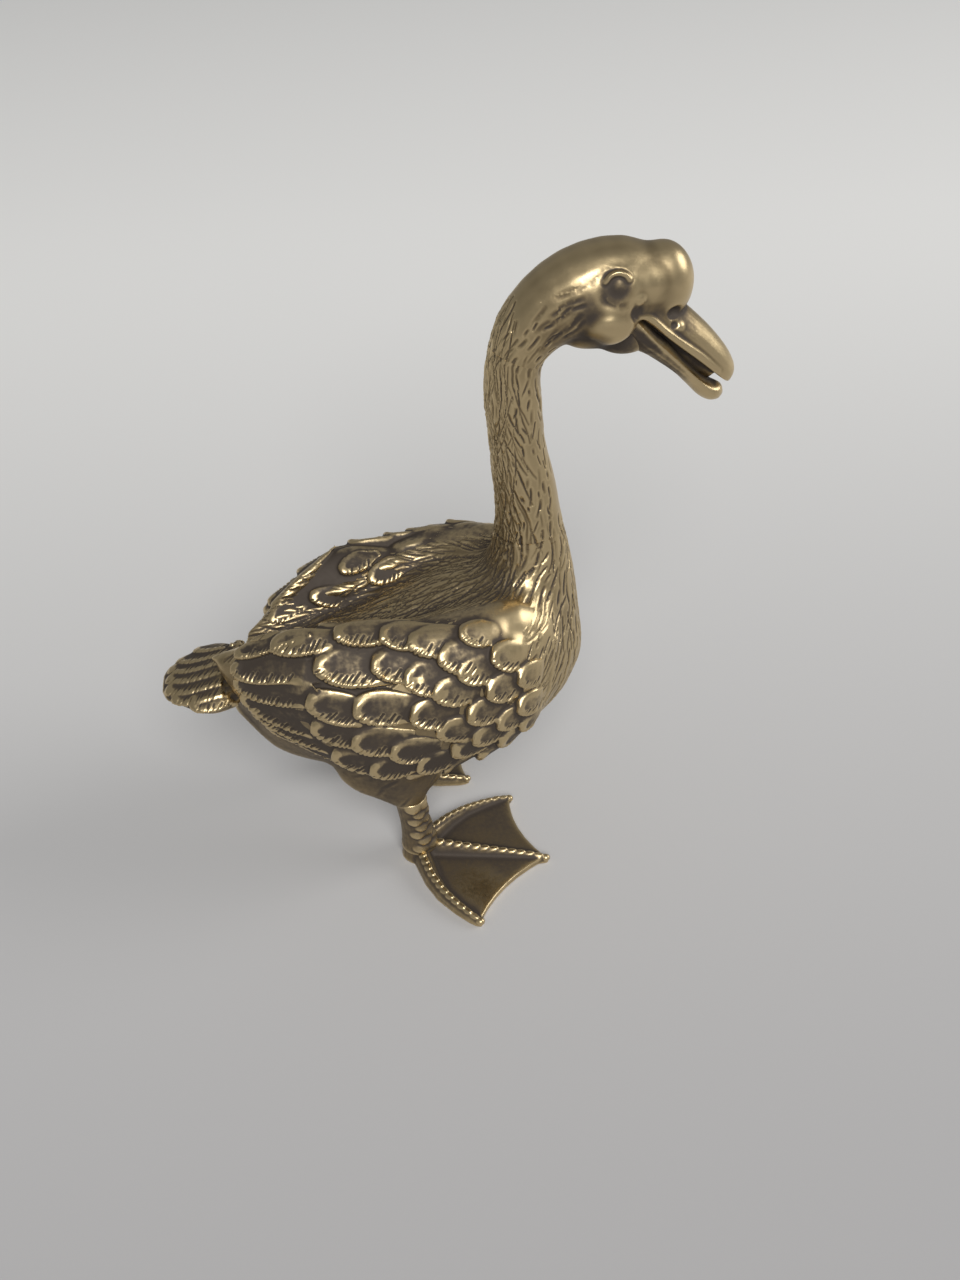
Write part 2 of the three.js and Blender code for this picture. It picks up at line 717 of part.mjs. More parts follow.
const torso = cut(
  torsoForm(0),
  wingSockets,
  flipped(wingSockets),
  peg(tailPeg.from, tailPeg.to.clone().setX(tailPeg.to.x + seamGap), tailPegRadius, pegGap),
  peg(neckPeg.from, neckPeg.to.clone().addScaledVector(neckAim, -seamGap), neckPegRadius, pegGap),
  shankPeg(ankles.right, seamGap, pegGap),
  shankPeg(ankles.left, seamGap, pegGap),
);
const neckTube = solid(sweep(spine, { steps: 12, from: beyond(neckSeam), to: headSeam }));
const neck = joined(
  cut(neckTube, rightWingSeat, leftWingSeat),
  peg(neckPeg.from, neckPeg.to, neckPegRadius),
  peg(headPeg.from, headPeg.to, headPegRadius),
);
const head = cut(
  headForm(),
  peg(headPeg.from, headPeg.to.clone().addScaledVector(headAim, seamGap), headPegRadius, pegGap),
  lowerBillForm(seamGap),
  peg(lowerBillPeg.from, lowerBillPeg.to, lowerBillPegRadius, pegGap),
);
const lowerBill = joined(lowerBillForm(0), peg(lowerBillPeg.from, lowerBillPeg.to, lowerBillPegRadius));
const tail = joined(
  cut(tailForm(), torsoSeat, rightWingSeat, leftWingSeat),
  peg(tailPeg.from, tailPeg.to, tailPegRadius),
);

const goose = new THREE.Group();
goose.name = "goose";
goose.add(
  mesh("torso", torso, darkBrass),
  mesh("neck", neck, wornBrass),
  mesh("head", head, wornBrass),
  mesh("lower_bill", lowerBill, darkBrass),
  mesh("right_wing", rightWing, wornBrass),
  mesh("left_wing", leftWing, wornBrass),
  mesh("tail", tail, darkBrass),
  mesh("right_leg", shank(ankles.right), darkBrass),
  mesh("left_leg", shank(ankles.left), darkBrass),
  mesh("right_foot", foot(ankles.right, -rightTurnOut, false), wornBrass),
  mesh("left_foot", foot(ankles.left, leftTurnOut, true), wornBrass),
);

// The origin lies on the ground, under the middle of the whole goose.
const bounds = new THREE.Box3().setFromObject(goose);
const middle = bounds.getCenter(point(0, 0, 0));
goose.children.forEach((piece) => piece.geometry.translate(-middle.x, -middle.y, -bounds.min.z));

export default goose;
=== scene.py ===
import math
from itertools import product

import bmesh
import bpy
import numpy as np
from mathutils import Matrix, Vector
from mathutils.bvhtree import BVHTree
from mathutils.kdtree import KDTree


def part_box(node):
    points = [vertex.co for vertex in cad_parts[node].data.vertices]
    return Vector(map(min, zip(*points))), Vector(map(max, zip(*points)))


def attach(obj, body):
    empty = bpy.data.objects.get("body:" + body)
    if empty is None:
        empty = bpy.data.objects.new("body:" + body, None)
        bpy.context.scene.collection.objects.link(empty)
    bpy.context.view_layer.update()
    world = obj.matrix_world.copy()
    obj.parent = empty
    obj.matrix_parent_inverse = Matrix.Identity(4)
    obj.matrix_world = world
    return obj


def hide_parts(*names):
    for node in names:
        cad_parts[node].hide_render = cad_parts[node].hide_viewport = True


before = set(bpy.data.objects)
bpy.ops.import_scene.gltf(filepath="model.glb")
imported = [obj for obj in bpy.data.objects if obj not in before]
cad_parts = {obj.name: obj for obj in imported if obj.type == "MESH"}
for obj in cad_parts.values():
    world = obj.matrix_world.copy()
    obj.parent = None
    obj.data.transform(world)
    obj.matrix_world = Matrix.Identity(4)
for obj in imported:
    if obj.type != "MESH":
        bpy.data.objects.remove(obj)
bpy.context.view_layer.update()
scene = bpy.context.scene
mm = 0.001
headLow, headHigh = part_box("head")
midY = (headLow.y + headHigh.y) / 2 / mm  # the goose's own middle plane
dice = np.random.default_rng(11)


# Meshes are worked as arrays in millimetres and scaled to metres at the end
class Casting:
    def __init__(self, mesh):
        self.mesh = mesh
        count = len(mesh.vertices)
        flat = np.empty(count * 3, np.float32)
        mesh.vertices.foreach_get("co", flat)
        self.points = flat.reshape(-1, 3).astype(float)
        ends = np.empty(len(mesh.edges) * 2, np.int32)
        mesh.edges.foreach_get("vertices", ends)
        self.ends = ends.reshape(-1, 2)
        self.valence = np.maximum(np.bincount(ends, minlength=count), 1)

    def around(self, values):  # mean of each point's neighbours
        a, b = self.ends.T
        count = len(values)
        columns = values.reshape(count, -1).T
        sums = [
            np.bincount(a, column[b], count) + np.bincount(b, column[a], count)
            for column in columns
        ]
        return (np.stack(sums, 1) / self.valence[:, None]).reshape(values.shape)

    def smooth(self, rounds, mask=None):  # half way to the neighbours' mean each round
        step = 0.5 if mask is None else 0.5 * mask[:, None]
        for _ in range(rounds):
            self.points += step * (self.around(self.points) - self.points)
        return self

    def store(self):
        self.mesh.vertices.foreach_set("co", self.points.astype(np.float32).ravel())
        self.mesh.update()

    def normals(self):
        self.store()
        flat = np.empty(self.points.size, np.float32)
        self.mesh.vertex_normals.foreach_get("vector", flat)
        return flat.reshape(-1, 3).astype(float)

    def push(self, amount):
        self.points += self.normals() * np.reshape(amount, (-1, 1))
        return self

    def tree(self):
        self.store()
        faces = [tuple(face.vertices) for face in self.mesh.polygons]
        return BVHTree.FromPolygons(self.points.tolist(), faces)


def shell(points, faces):
    mesh = bpy.data.meshes.new("blank")
    mesh.from_pydata([tuple(p) for p in points], [], [tuple(f) for f in faces])
    mesh.update()
    return Casting(mesh)


def drawn(form, name="blank"):  # the mesh that a bmesh holds
    mesh = bpy.data.meshes.new(name)
    form.to_mesh(mesh)
    form.free()
    return Casting(mesh)


def linked(name, data):  # a new object in the scene
    item = bpy.data.objects.new(name, data)
    scene.collection.objects.link(item)
    return item


def mark(mesh, label, values):  # a number or a direction for each point
    values = np.array(values, np.float32)
    kind, field = ("FLOAT", "value") if values.ndim == 1 else ("FLOAT_VECTOR", "vector")
    mesh.attributes.new(label, kind, "POINT").data.foreach_set(field, values.ravel())


def applied(item):  # an object's mesh with its modifiers worked in
    ready = item.evaluated_get(bpy.context.evaluated_depsgraph_get())
    return bpy.data.meshes.new_from_object(ready)


def cadShell(name, grow=0.0):
    form = bmesh.new()
    form.from_mesh(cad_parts[name].data)
    form.transform(Matrix.Diagonal((1 / mm, 1 / mm, 1 / mm, 1)))
    bmesh.ops.remove_doubles(form, verts=form.verts, dist=0.0005)
    return drawn(form, name).push(grow)


def fuse(parts, voxel):
    form = bmesh.new()
    for part in parts:
        part.store()
        form.from_mesh(part.mesh)
    blank = linked("blank", drawn(form).mesh)
    melt = blank.modifiers.new("melt", "REMESH")
    melt.mode = "VOXEL"
    melt.voxel_size = voxel
    made = Casting(applied(blank))
    bpy.data.objects.remove(blank)
    return made


# What lies behind a plane is kept and the cut is closed
def cutAt(casting, planes, finer=0):
    casting.store()
    form = bmesh.new()
    form.from_mesh(casting.mesh)
    for spot, way in planes:
        everything = form.verts[:] + form.edges[:] + form.faces[:]
        bmesh.ops.bisect_plane(form, geom=everything, plane_co=spot, plane_no=way, clear_outer=True)
    for _ in range(finer):
        bmesh.ops.subdivide_edges(form, edges=form.edges[:], cuts=1, use_grid_fill=True)
    rims = [edge for edge in form.edges if edge.is_boundary]
    for edge in rims:
        edge.smooth = False
    bmesh.ops.holes_fill(form, edges=rims, sides=0)
    return drawn(form)


def ramp(values, low, high):
    share = np.clip((values - low) / (high - low), 0, 1)
    return share * share * (3 - 2 * share)


def unit(vectors):
    size = np.linalg.norm(vectors, axis=-1, keepdims=True)
    return vectors / np.maximum(size, 1e-9)


def pointTree(points):
    lookUp = KDTree(len(points))
    for i, spot in enumerate(points):
        lookUp.insert(spot, i)
    lookUp.balance()
    return lookUp


def flatOn(aim, up):  # a direction laid along the surface that faces up
    return (aim - up * aim.dot(up)).normalized()


def softenAt(casting, spot, rounds, far, near):  # what lies near a place in side view
    x, z = spot
    away = np.sqrt((casting.points[:, 0] - x) ** 2 + (casting.points[:, 2] - z) ** 2)
    return casting.smooth(rounds, ramp(-away, -far, -near))


# One class for the maths of shaders and of geometry trees
class Wire:
    def __init__(self, tree, socket=None):
        self.tree = tree
        self.socket = socket

    def add(self, kind, settings=None, inputs=None, out=0):
        node = self.tree.nodes.new(kind)
        for name, value in (settings or {}).items():
            setattr(node, name, value)
        for name, value in (inputs or {}).items():
            if isinstance(value, Wire):
                self.tree.links.new(value.socket, node.inputs[name])
            else:
                node.inputs[name].default_value = value
        return Wire(self.tree, node.outputs[out] if len(node.outputs) else node.inputs[0])

    def sum(self, operation, a, b):
        return self.add("ShaderNodeMath", {"operation": operation}, {0: a, 1: b})

    def __add__(self, other):
        return self.sum("ADD", self, other)

    def __sub__(self, other):
        return self.sum("SUBTRACT", self, other)

    def __rsub__(self, other):
        return self.sum("SUBTRACT", other, self)

    def __mul__(self, other):
        return self.sum("MULTIPLY", self, other)

    __radd__ = __add__
    __rmul__ = __mul__

    def between(self, low, high):
        inputs = {"Value": self, "From Min": low, "From Max": high}
        return self.add("ShaderNodeMapRange", {"interpolation_type": "SMOOTHSTEP"}, inputs)

    def blend(self, first, second):  # colours, by this value
        inputs = {0: self, 6: first, 7: second}
        return self.add("ShaderNodeMix", {"data_type": "RGBA"}, inputs, 2)


# Camera, placed as the photograph's was
cameraLook = dict(spot=(-7.765, -84.553, 88.2), aim=(0.1084, 0.7711, -0.6274), lens=35.156)
lensData = bpy.data.cameras.new("camera")
lensData.lens = cameraLook["lens"]
lensData.clip_start = 0.005
camera = linked("camera", lensData)
camera.location = Vector(cameraLook["spot"]) * mm
camera.rotation_mode = "QUATERNION"
camera.rotation_quaternion = Vector(cameraLook["aim"]).to_track_quat("-Z", "Y")
scene.camera = camera
scene.view_settings.view_transform = "Standard"
print("camera set")

# Antique brass: worn bright where it stands proud, dark patina where it lies hollow; the same two attributes
# also carry painted shade and painted highlights, which these colours paint
brassLook = dict(
    bright=(0.62, 0.485, 0.275, 1), plain=(0.275, 0.206, 0.114, 1), patinaAndPaintedLight=(0.07, 0.054, 0.041, 1),
    cloudScale=260.0, grainScale=2600.0, cloudiness=0.5, darkRange=(0.2, 0.78), shineRange=(0.2, 0.85),
    grainDark=(0.18, 0.5), darkMetal=0.55, roughness=0.34, darkRough=0.26, plainRough=0.08, grainRough=0.1,
    bumpStrength=0.12, bumpDepth=0.00006,
)


def antiqueBrass():
    material = bpy.data.materials.new("antiqueBrass")
    material.use_nodes = True
    tree = material.node_tree
    tree.nodes.clear()
    bench = Wire(tree)
    place = bench.add("ShaderNodeTexCoord", out=3)
    hollow = bench.add("ShaderNodeAttribute", {"attribute_name": "hollow"}, out=2)
    wornAndLit = bench.add("ShaderNodeAttribute", {"attribute_name": "wornAndLit"}, out=2)
    cloudScale, grainScale = brassLook["cloudScale"], brassLook["grainScale"]
    cloud = bench.add("ShaderNodeTexNoise", None, {"Vector": place, "Scale": cloudScale, "Detail": 3.0})
    grain = bench.add("ShaderNodeTexNoise", None, {"Vector": place, "Scale": grainScale, "Detail": 2.0})
    mottle = (cloud - 0.5) * brassLook["cloudiness"]
    speck = grain - 0.5
    least, more = brassLook["grainDark"]
    dark = (hollow + mottle + speck * (least + wornAndLit * more)).between(*brassLook["darkRange"])
    shine = (wornAndLit + mottle).between(*brassLook["shineRange"])
    metal = shine.blend(brassLook["plain"], brassLook["bright"])
    colour = dark.blend(metal, brassLook["patinaAndPaintedLight"])
    rough = brassLook["roughness"] + dark * brassLook["darkRough"]
    rough = rough + (1 - shine) * brassLook["plainRough"] + speck * brassLook["grainRough"]
    metallic = 1 - dark * brassLook["darkMetal"]
    relief = {"Strength": brassLook["bumpStrength"], "Distance": brassLook["bumpDepth"]}
    bump = bench.add("ShaderNodeBump", None, {**relief, "Height": grain + cloud * 2})
    shader = bench.add(
        "ShaderNodeBsdfPrincipled",
        None,
        {"Base Color": colour, "Metallic": metallic, "Roughness": rough, "Normal": bump},
    )
    bench.add("ShaderNodeOutputMaterial", None, {"Surface": shader})
    return material


brass = antiqueBrass()

# Wings: rows of feathers from the tip to the shoulder, as the CAD has them. Each tip is a share of the wing's
# length and the degrees that it lies above the level of the wing's axis
wingLook = dict(
    axisHeight=18.5,
    shoulder=9.92,
    lengths={-1: 29.0, 1: 26.0},
    voxel=0.1,
    baseGrow=0.1,
    baseVoxel=0.2,
    baseRounds=12,
    sunk=0.35,
    tipCut=0.1,
    tipHeight=22.5,
    tipWay=(-0.935, 0, -0.355),
    hullVoxel=0.25,
    hullRounds=30,
    hullSink=0.4,
    fillSink=0.1,
    fillFade=1.8,
    fillSpan=(-7.0, 1.5),
    slope=(0.04, 0.3),
    grow=(0.9, 1.08),
    topTurn={-1: 0.0, 1: 7.0},
    topRows=(40, 52),
    topNarrow=0.15,
    narrowRows=(42, 54),
    barbs=[(0.5, 0.14), (0.45, 0.14), (0.42, 0.12), (0.5, 0.12)],
    # the far wing's higher dull and lower polish are painted shade on it
    dullAndShade={-1: 0.44, 1: 0.54},
    polishAndLight={-1: 1.15, 1: 0.35},
    # a painted highlight on the shoulder, brightened as if worn
    shine=[((6.6, 7.6, 26.2), 3.0, -0.3)],
    quills=[
        (10.0, 2.7, [(0.085, 54), (0.07, 44), (0.075, 33), (0.09, 21), (0.115, 8), (0.15, -6), (0.2, -20)]),
    ],
    coverts=[
        (7.0, 3.6, [(0.19, 53), (0.3, 40), (0.275, 24), (0.28, 7), (0.33, -13), (0.4, -31)]),
        (5.9, 3.5, [(0.36, 53), (0.455, 38), (0.395, 19), (0.385, 0), (0.43, -18), (0.53, -34)]),
        (4.8, 3.3, [(0.485, 50), (0.54, 31), (0.55, 15), (0.49, -6), (0.56, -19), (0.64, -33)]),
    ],
    scales=[
        (4.5, 3.2, [(0.56, 45), (0.635, 39), (0.615, 24), (0.62, 4), (0.66, -12), (0.74, -26)]),
        (3.7, 2.9, [(0.7, 47), (0.685, 32), (0.705, 11), (0.72, -5), (0.76, 22), (0.79, 2), (0.8, -14)]),
        (3.5, 2.8, [(0.78, 38), (0.85, 26), (0.85, 10), (0.86, -6)]),
    ],
    crests=[
        ((-5.3, 3.0, 24.8), (-1, -0.2, -0.3), 4.2, 2.3), ((-7.6, 4.5, 24.75), (-1, -0.29, -0.39), 4.0, 2.1),
        ((-10.4, 2.9, 23.8), (-1, 0, 0.17), 5.0, 2.2), ((-14.1, 1.6, 22.3), (-1, -0.35, -0.35), 4.6, 2.0),
    ],
    crestThick=0.5,
)

# Body form: torso, wings and neck melted on a coarse grid and softened, then melted with the head
bodyLook = dict(
    closeGap=0.2, coarse=0.3, soften=6, voxel=0.13, headLap=0.6,
    wingFront=(-8.0, -6.0), wingLow=(-56, -44), wingHigh=(-64, -56), wingRounds=45, wingSink=0.2,
    shoulder=(4.5, 8.5), shoulderTop=(-34, -30), shoulderRounds=40,
    neckRoot=(7.2, 27.6), neckReach=8.5, neckRounds=60,
    neckFull=0.24, neckFrom=(33, 38), neckTo=(-46, -42),
    thighs=[(-3.2, -5.6, 10.5), (-7.4, 5.6, 10.5)], thighSize=(3.6, 1.9, 3.3),
)
seamLook = dict(
    neck=((8.0, 0, 31.3), (-0.06, 0, 1)), head=((6.72, 0, 46.6), (0.35, 0, 0.94)), overlap=0.5, spare=2.5
)


def offset(seam, way):
    spot, normal = (np.array(v, float) for v in seam)
    return tuple(spot + unit(normal) * way), tuple(normal)


def turned(plane):
    return plane[0], tuple(-np.array(plane[1]))


def pastSeam(points, seam):
    spot, normal = (np.array(v, float) for v in seam)
    return (points - spot) @ unit(normal)


def blob(centre, size):
    form = bmesh.new()
    x, y, z = centre
    matrix = Matrix.Translation((x, midY + y, z)) @ Matrix.Diagonal((*size, 1))
    bmesh.ops.create_uvsphere(form, u_segments=24, v_segments=16, radius=1, matrix=matrix)
    return drawn(form, "blob")


def bodyForm():
    names = ("torso", "neck", "head", "right_wing", "left_wing")
    gap = bodyLook["closeGap"]
    thighs = [blob(spot, bodyLook["thighSize"]) for spot in bodyLook["thighs"]]
    form = fuse([cadShell(name, gap) for name in names] + thighs, bodyLook["coarse"])
    form.smooth(2).push(-gap)
    form.smooth(bodyLook["soften"])
    x, y, z = form.points.T
    turn = np.degrees(np.arctan2(z - wingLook["axisHeight"], np.abs(y - midY)))
    wings = ramp(-x, *bodyLook["wingFront"]) * ramp(turn, *bodyLook["wingLow"])
    wings = wings * ramp(-turn, *bodyLook["wingHigh"])
    form.smooth(bodyLook["wingRounds"], wings).push(-bodyLook["wingSink"] * wings)
    shoulders = ramp(x, *bodyLook["shoulder"]) * ramp(-z, *bodyLook["shoulderTop"])
    form.smooth(bodyLook["shoulderRounds"], shoulders)
    form.push(bodyLook["neckFull"] * ramp(z, *bodyLook["neckFrom"]) * ramp(-z, *bodyLook["neckTo"]))
    rootX, rootZ = bodyLook["neckRoot"]
    reach = bodyLook["neckReach"]
    away = np.sqrt((x - rootX) ** 2 + (y - midY) ** 2 + (z - rootZ) ** 2)
    form.smooth(bodyLook["neckRounds"], ramp(-away, -reach, -0.5 * reach))
    return cutAt(form, [offset(seamLook["head"], bodyLook["headLap"])], 1).smooth(3)


# Head form: the CAD skull without its bill, with knob, cheeks and chin set on as centre and size.
# The softened places have their spot in side view, rounds, and the reach to none and to all of it
headLook = dict(
    voxel=0.1,
    billCuts=[((17.4, 0, 48.9), (0.77, 0, -0.64)), ((15.0, 0, 49.0), (0.6, 0, -0.8))],
    narrow=0.65,
    narrowFrom=(14.6, 15.8),
    narrowBelow=(-51.6, -50.6),
    knob=((17.3, 0, 51.6), (2.45, 2.5, 3.07)),
    cheek=((13.05, 1.75, 49.75), (2.2, 1.8, 1.7)),
    chin=((14.8, 0, 47.65), (2.3, 1.8, 1.5)),
    jaw=((12.3, 0, 48.45), (2.7, 2.1, 1.65)),
    bridge=((15.5, 0, 51.9), (2.3, 2.75, 2.65)),
    eye=((13.55, 52.65), 60, 2.0, 1.2),
    waist=((15.8, 52.8), 110, 2.6, 1.1),
    crown=((17.6, 53.5), 60, 2.4, 1.2),
    throat=((13.9, 47.7), 70, 2.9, 1.5),
)


def headForm():
    gap = bodyLook["closeGap"]
    form = fuse([cadShell("head", gap)], headLook["voxel"]).smooth(4).push(-gap)
    softenAt(form, *headLook["eye"])
    x, y, z = form.points.T
    sides = ramp(x, *headLook["narrowFrom"]) * ramp(-z, *headLook["narrowBelow"])
    form = cutAt(form.push(-headLook["narrow"] * sides), headLook["billCuts"])
    lumps = [blob(*headLook[lump]) for lump in ("knob", "chin", "jaw", "bridge")]
    (x, y, z), size = headLook["cheek"]
    lumps += [blob((x, side * y, z), size) for side in (1, -1)]
    made = fuse([form] + lumps, headLook["voxel"]).smooth(8)
    for place in ("waist", "crown", "throat"):
        softenAt(made, *headLook[place])
    return made


core = fuse([bodyForm(), headForm()], bodyLook["voxel"]).smooth(10)
coreTree = core.tree()
print("body and head melted", len(core.points), "points")

burrAt, burrWidth = 1.25, 0.3  # in half widths of a stroke


# Strokes chased into the metal; a negative depth raises a ridge
def carve(casting, strokes, lip=0.22):
    counts = [len(stroke["line"]) for stroke in strokes]
    widths = np.repeat([stroke["width"] for stroke in strokes], counts)
    depths = np.concatenate([
        stroke["depth"] * np.sin(np.linspace(0.15, math.pi - 0.15, count)) ** 0.5
        for stroke, count in zip(strokes, counts)
    ])
    samples = np.concatenate([stroke["line"] for stroke in strokes])
    lookUp = pointTree(samples)
    low = samples.min(0) - 1
    high = samples.max(0) + 1
    near = np.flatnonzero(((casting.points > low) & (casting.points < high)).all(1))
    found = [lookUp.find(spot) for spot in casting.points[near]]
    index = np.array([hit[1] for hit in found])
    away = np.array([hit[2] for hit in found]) / widths[index]
    groove = np.clip(1 - away**2, 0, 1) ** 2
    burr = lip * np.exp(-(((away - burrAt) / burrWidth) ** 2))
    amount = np.zeros(len(casting.points))
    amount[near] = depths[index] * (burr - groove)
    return casting.push(amount)


def dab(casting, spot, reach, amount):
    away = np.linalg.norm(casting.points - np.array(spot), axis=1) / reach
    return casting.push(amount * np.clip(1 - away**2, 0, 1) ** 2)


def even(line, step=0.06):  # the same line with evenly spaced points
    line = np.array(line, float)
    far = np.concatenate([[0], np.cumsum(np.linalg.norm(np.diff(line, axis=0), axis=1))])
    count = max(3, int(far[-1] / step) + 1)
    places = np.linspace(0, far[-1], count)
    return np.stack([np.interp(places, far, column) for column in line.T], 1)


def curved(line, parts=8):  # a smooth run through a few points
    line = np.array(line, float)
    padded = np.concatenate([[2 * line[0] - line[1]], line, [2 * line[-1] - line[-2]]])
    t = np.linspace(0, 1, parts, endpoint=False)[:, None]
    out = []
    for a, b, c, d in zip(padded, padded[1:], padded[2:], padded[3:]):
        straight = 2 * b + (c - a) * t
        squared = (2 * a - 5 * b + 4 * c - d) * t**2
        out.append(0.5 * (straight + squared + (3 * b - a - 3 * c + d) * t**3))
    return np.concatenate(out + [line[-1:]])


# The way the plumage runs: down the neck, then out over the breast and back
plumage = dict(
    spine=[(14.1, 51.0), (11.4, 51.0), (8.6, 49.5), (6.72, 46.6), (6.9, 40.0), (7.9, 33.2), (8.3, 27.0)],
    spread=(8.0, 28.0),
    drift=(-0.35, 0, -0.1),
    turnOut=(27.0, 33.0),
    step=0.1,
    wander=0.05,
)
# Kinds of stroke, each from a box of least and most x, distance from the middle plane, and z
strokeLook = dict(
    neck=dict(
        low=(-30, -1, 32), high=(9.5, 30, 50), space=0.76,
        length=(0.4, 1.6), width=(0.11, 0.24), depth=(0.03, 0.15), stray=0.2,
    ),
    breast=dict(
        low=(5.5, -1, 11), high=(30, 30, 33), space=0.76,
        length=(0.9, 3.4), width=(0.13, 0.27), depth=(0.06, 0.19), stray=0.2,
    ),
    back=dict(
        low=(-13, -1, 20), high=(6.5, 8, 60), space=0.6,
        length=(2.0, 6.0), width=(0.12, 0.19), depth=(0.07, 0.14), stray=0.14,
    ),
    thigh=dict(
        low=(-30, -1, 7.2), high=(3, 30, 12), space=1.8,
        length=(0.8, 1.8), width=(0.2, 0.32), depth=(0.02, 0.04), stray=0.2,
    ),
)
spineLine = np.array([(x, midY, z) for x, z in plumage["spine"]])


def flowAt(spot):
    a = spineLine[:-1]
    along = spineLine[1:] - a
    share = np.clip(((spot - a) * along).sum(1) / (along**2).sum(1), 0, 1)
    nearest = np.linalg.norm(a + along * share[:, None] - spot, axis=1).argmin()
    down = unit(along[nearest])
    x, z = plumage["spread"]
    out = unit(spot - np.array((x, midY, z))) + np.array(plumage["drift"])
    blend = ramp(spot[2], *plumage["turnOut"])
    return unit(down * blend + unit(out) * (1 - blend))


def scattered(points, space):  # some of the points, none closer than the space
    taken = {}
    chosen = []
    for i in dice.permutation(len(points)):
        x, y, z = (points[i] // space).astype(int)
        others = [
            other
            for dx, dy, dz in product((-1, 0, 1), repeat=3)
            for other in taken.get((x + dx, y + dy, z + dz), ())
        ]
        if all(np.sum((points[other] - points[i]) ** 2) >= space * space for other in others):
            taken.setdefault((x, y, z), []).append(i)
            chosen.append(i)
    return points[chosen]


def plumageStrokes(look, starts):
    strokes = []
    step = plumage["step"]
    for start in scattered(starts, look["space"]):
        length = dice.uniform(*look["length"])
        spot = Vector(start)
        lean = dice.normal(0, look["stray"])
        line = [np.array(spot)]
        for _ in range(int(length / step)):
            spot, up, _, _ = coreTree.find_nearest(spot)
            lean += dice.normal(0, plumage["wander"])
            way = flatOn(Vector(flowAt(np.array(spot))), up)
            way = way + up.cross(way) * lean
            spot = spot + way.normalized() * step
            line.append(np.array(coreTree.find_nearest(spot)[0]))
        width = dice.uniform(*look["width"])
        strokes.append(dict(line=even(line), width=width, depth=dice.uniform(*look["depth"])))
    return strokes


def allPlumage():
    x, y, z = core.points.T
    places = np.stack([x, np.abs(y - midY), z], 1)
    strokes = []
    for look in strokeLook.values():
        chosen = ((places > look["low"]) & (places < look["high"])).all(1)
        strokes += plumageStrokes(look, core.points[chosen])
    return strokes


chasing = allPlumage()
print("plumage", len(chasing), "strokes")


# Feathers: seats in rows, then one tree lays a feather on each seat along the surface
quill = dict(rise=0.6, rim=0.32, dome=0.04, tilt=0.75, taper=0.62, root=0.78, sink=0.0)
covert = dict(rise=0.7, rim=0.24, dome=0.02, tilt=0.6, taper=0.5, root=0.78, sink=0.0)
crest = dict(rise=0.7, rim=0.24, dome=0.06, tilt=0.6, taper=0.45, root=0.4, sink=1.2)
scale = dict(rise=0.6, rim=0.16, dome=0.14, tilt=0.45, taper=0.42, root=0.78, sink=0.0)
bead = dict(rise=0.1, rim=0.0, dome=0.5, tilt=0.0, taper=0.4, root=0.78, sink=0.0)
ridgeAt, ridgeWidth = 0.8, 0.15  # a feather's rim, in shares of its half width
seenGap = 0.12  # a place on a feather shows if the finished surface is this close
underside = -0.9


def featherHalf(t, look):
    end = np.clip((t - look["taper"]) / (1 - look["taper"]), 0, 1)
    root = look["root"]
    return (root + (1 - root) * ramp(t, 0, look["taper"])) * np.sqrt(1 - end**2), end


def featherHeight(s, t, look, side):  # side gives the edge that stands proud
    low = -side * s
    end = featherHalf(t, look)[1]
    height = look["rise"] * t**0.8 * (1 - look["tilt"] * 0.5 * (1 - low))
    height += look["dome"] * (1 - s * s) * np.sqrt(t) - look["sink"] * (1 - t) ** 2
    ring = np.sqrt(low**2 * (1 - end**2) + end**2)
    ridge = np.exp(-(((ring - ridgeAt) / ridgeWidth) ** 2)) * ramp(low, -0.9, -0.2)
    height += look["rim"] * ridge * ramp(t, 0.15, 0.45)
    return height - (height + 0.1) * ramp(np.maximum(np.abs(s), end), 0.93, 1.0)


def featherShape(look, side):
    across = np.array([-1, -0.94, -0.8, -0.62, -0.3, 0, 0.3, 0.62, 0.8, 0.94, 1])
    along = np.array([0, 0.2, 0.4, 0.55, 0.66, 0.75, 0.83, 0.9, 0.95, 0.985])
    s, t = np.meshgrid(across, along)
    top = np.stack([t - 1, 0.5 * featherHalf(t, look)[0] * s, 0 * s], -1).reshape(-1, 3)
    count = len(across)
    faces = []
    for r in range(len(along) - 1):
        for c in range(count - 1):
            a = r * count + c
            faces.append((a, a + count, a + count + 1, a + 1))
    total = len(top)
    faces += [tuple(total + i for i in reversed(face)) for face in faces]
    ring = list(range(count)) + [r * count + count - 1 for r in range(1, len(along))]
    ring += [total - 1 - i for i in range(1, count)]
    ring += [r * count for r in range(len(along) - 2, 0, -1)]
    for a, b in zip(ring, ring[1:] + ring[:1]):
        faces.append((a, b, total + b, total + a))
    mesh = bpy.data.meshes.new("feather")
    mesh.from_pydata(np.concatenate([top, top]).tolist(), [], faces)
    mesh.update()
    rise = np.concatenate([featherHeight(s, t, look, side).ravel(), np.full(total, underside)])
    mark(mesh, "rise", rise)
    return mesh


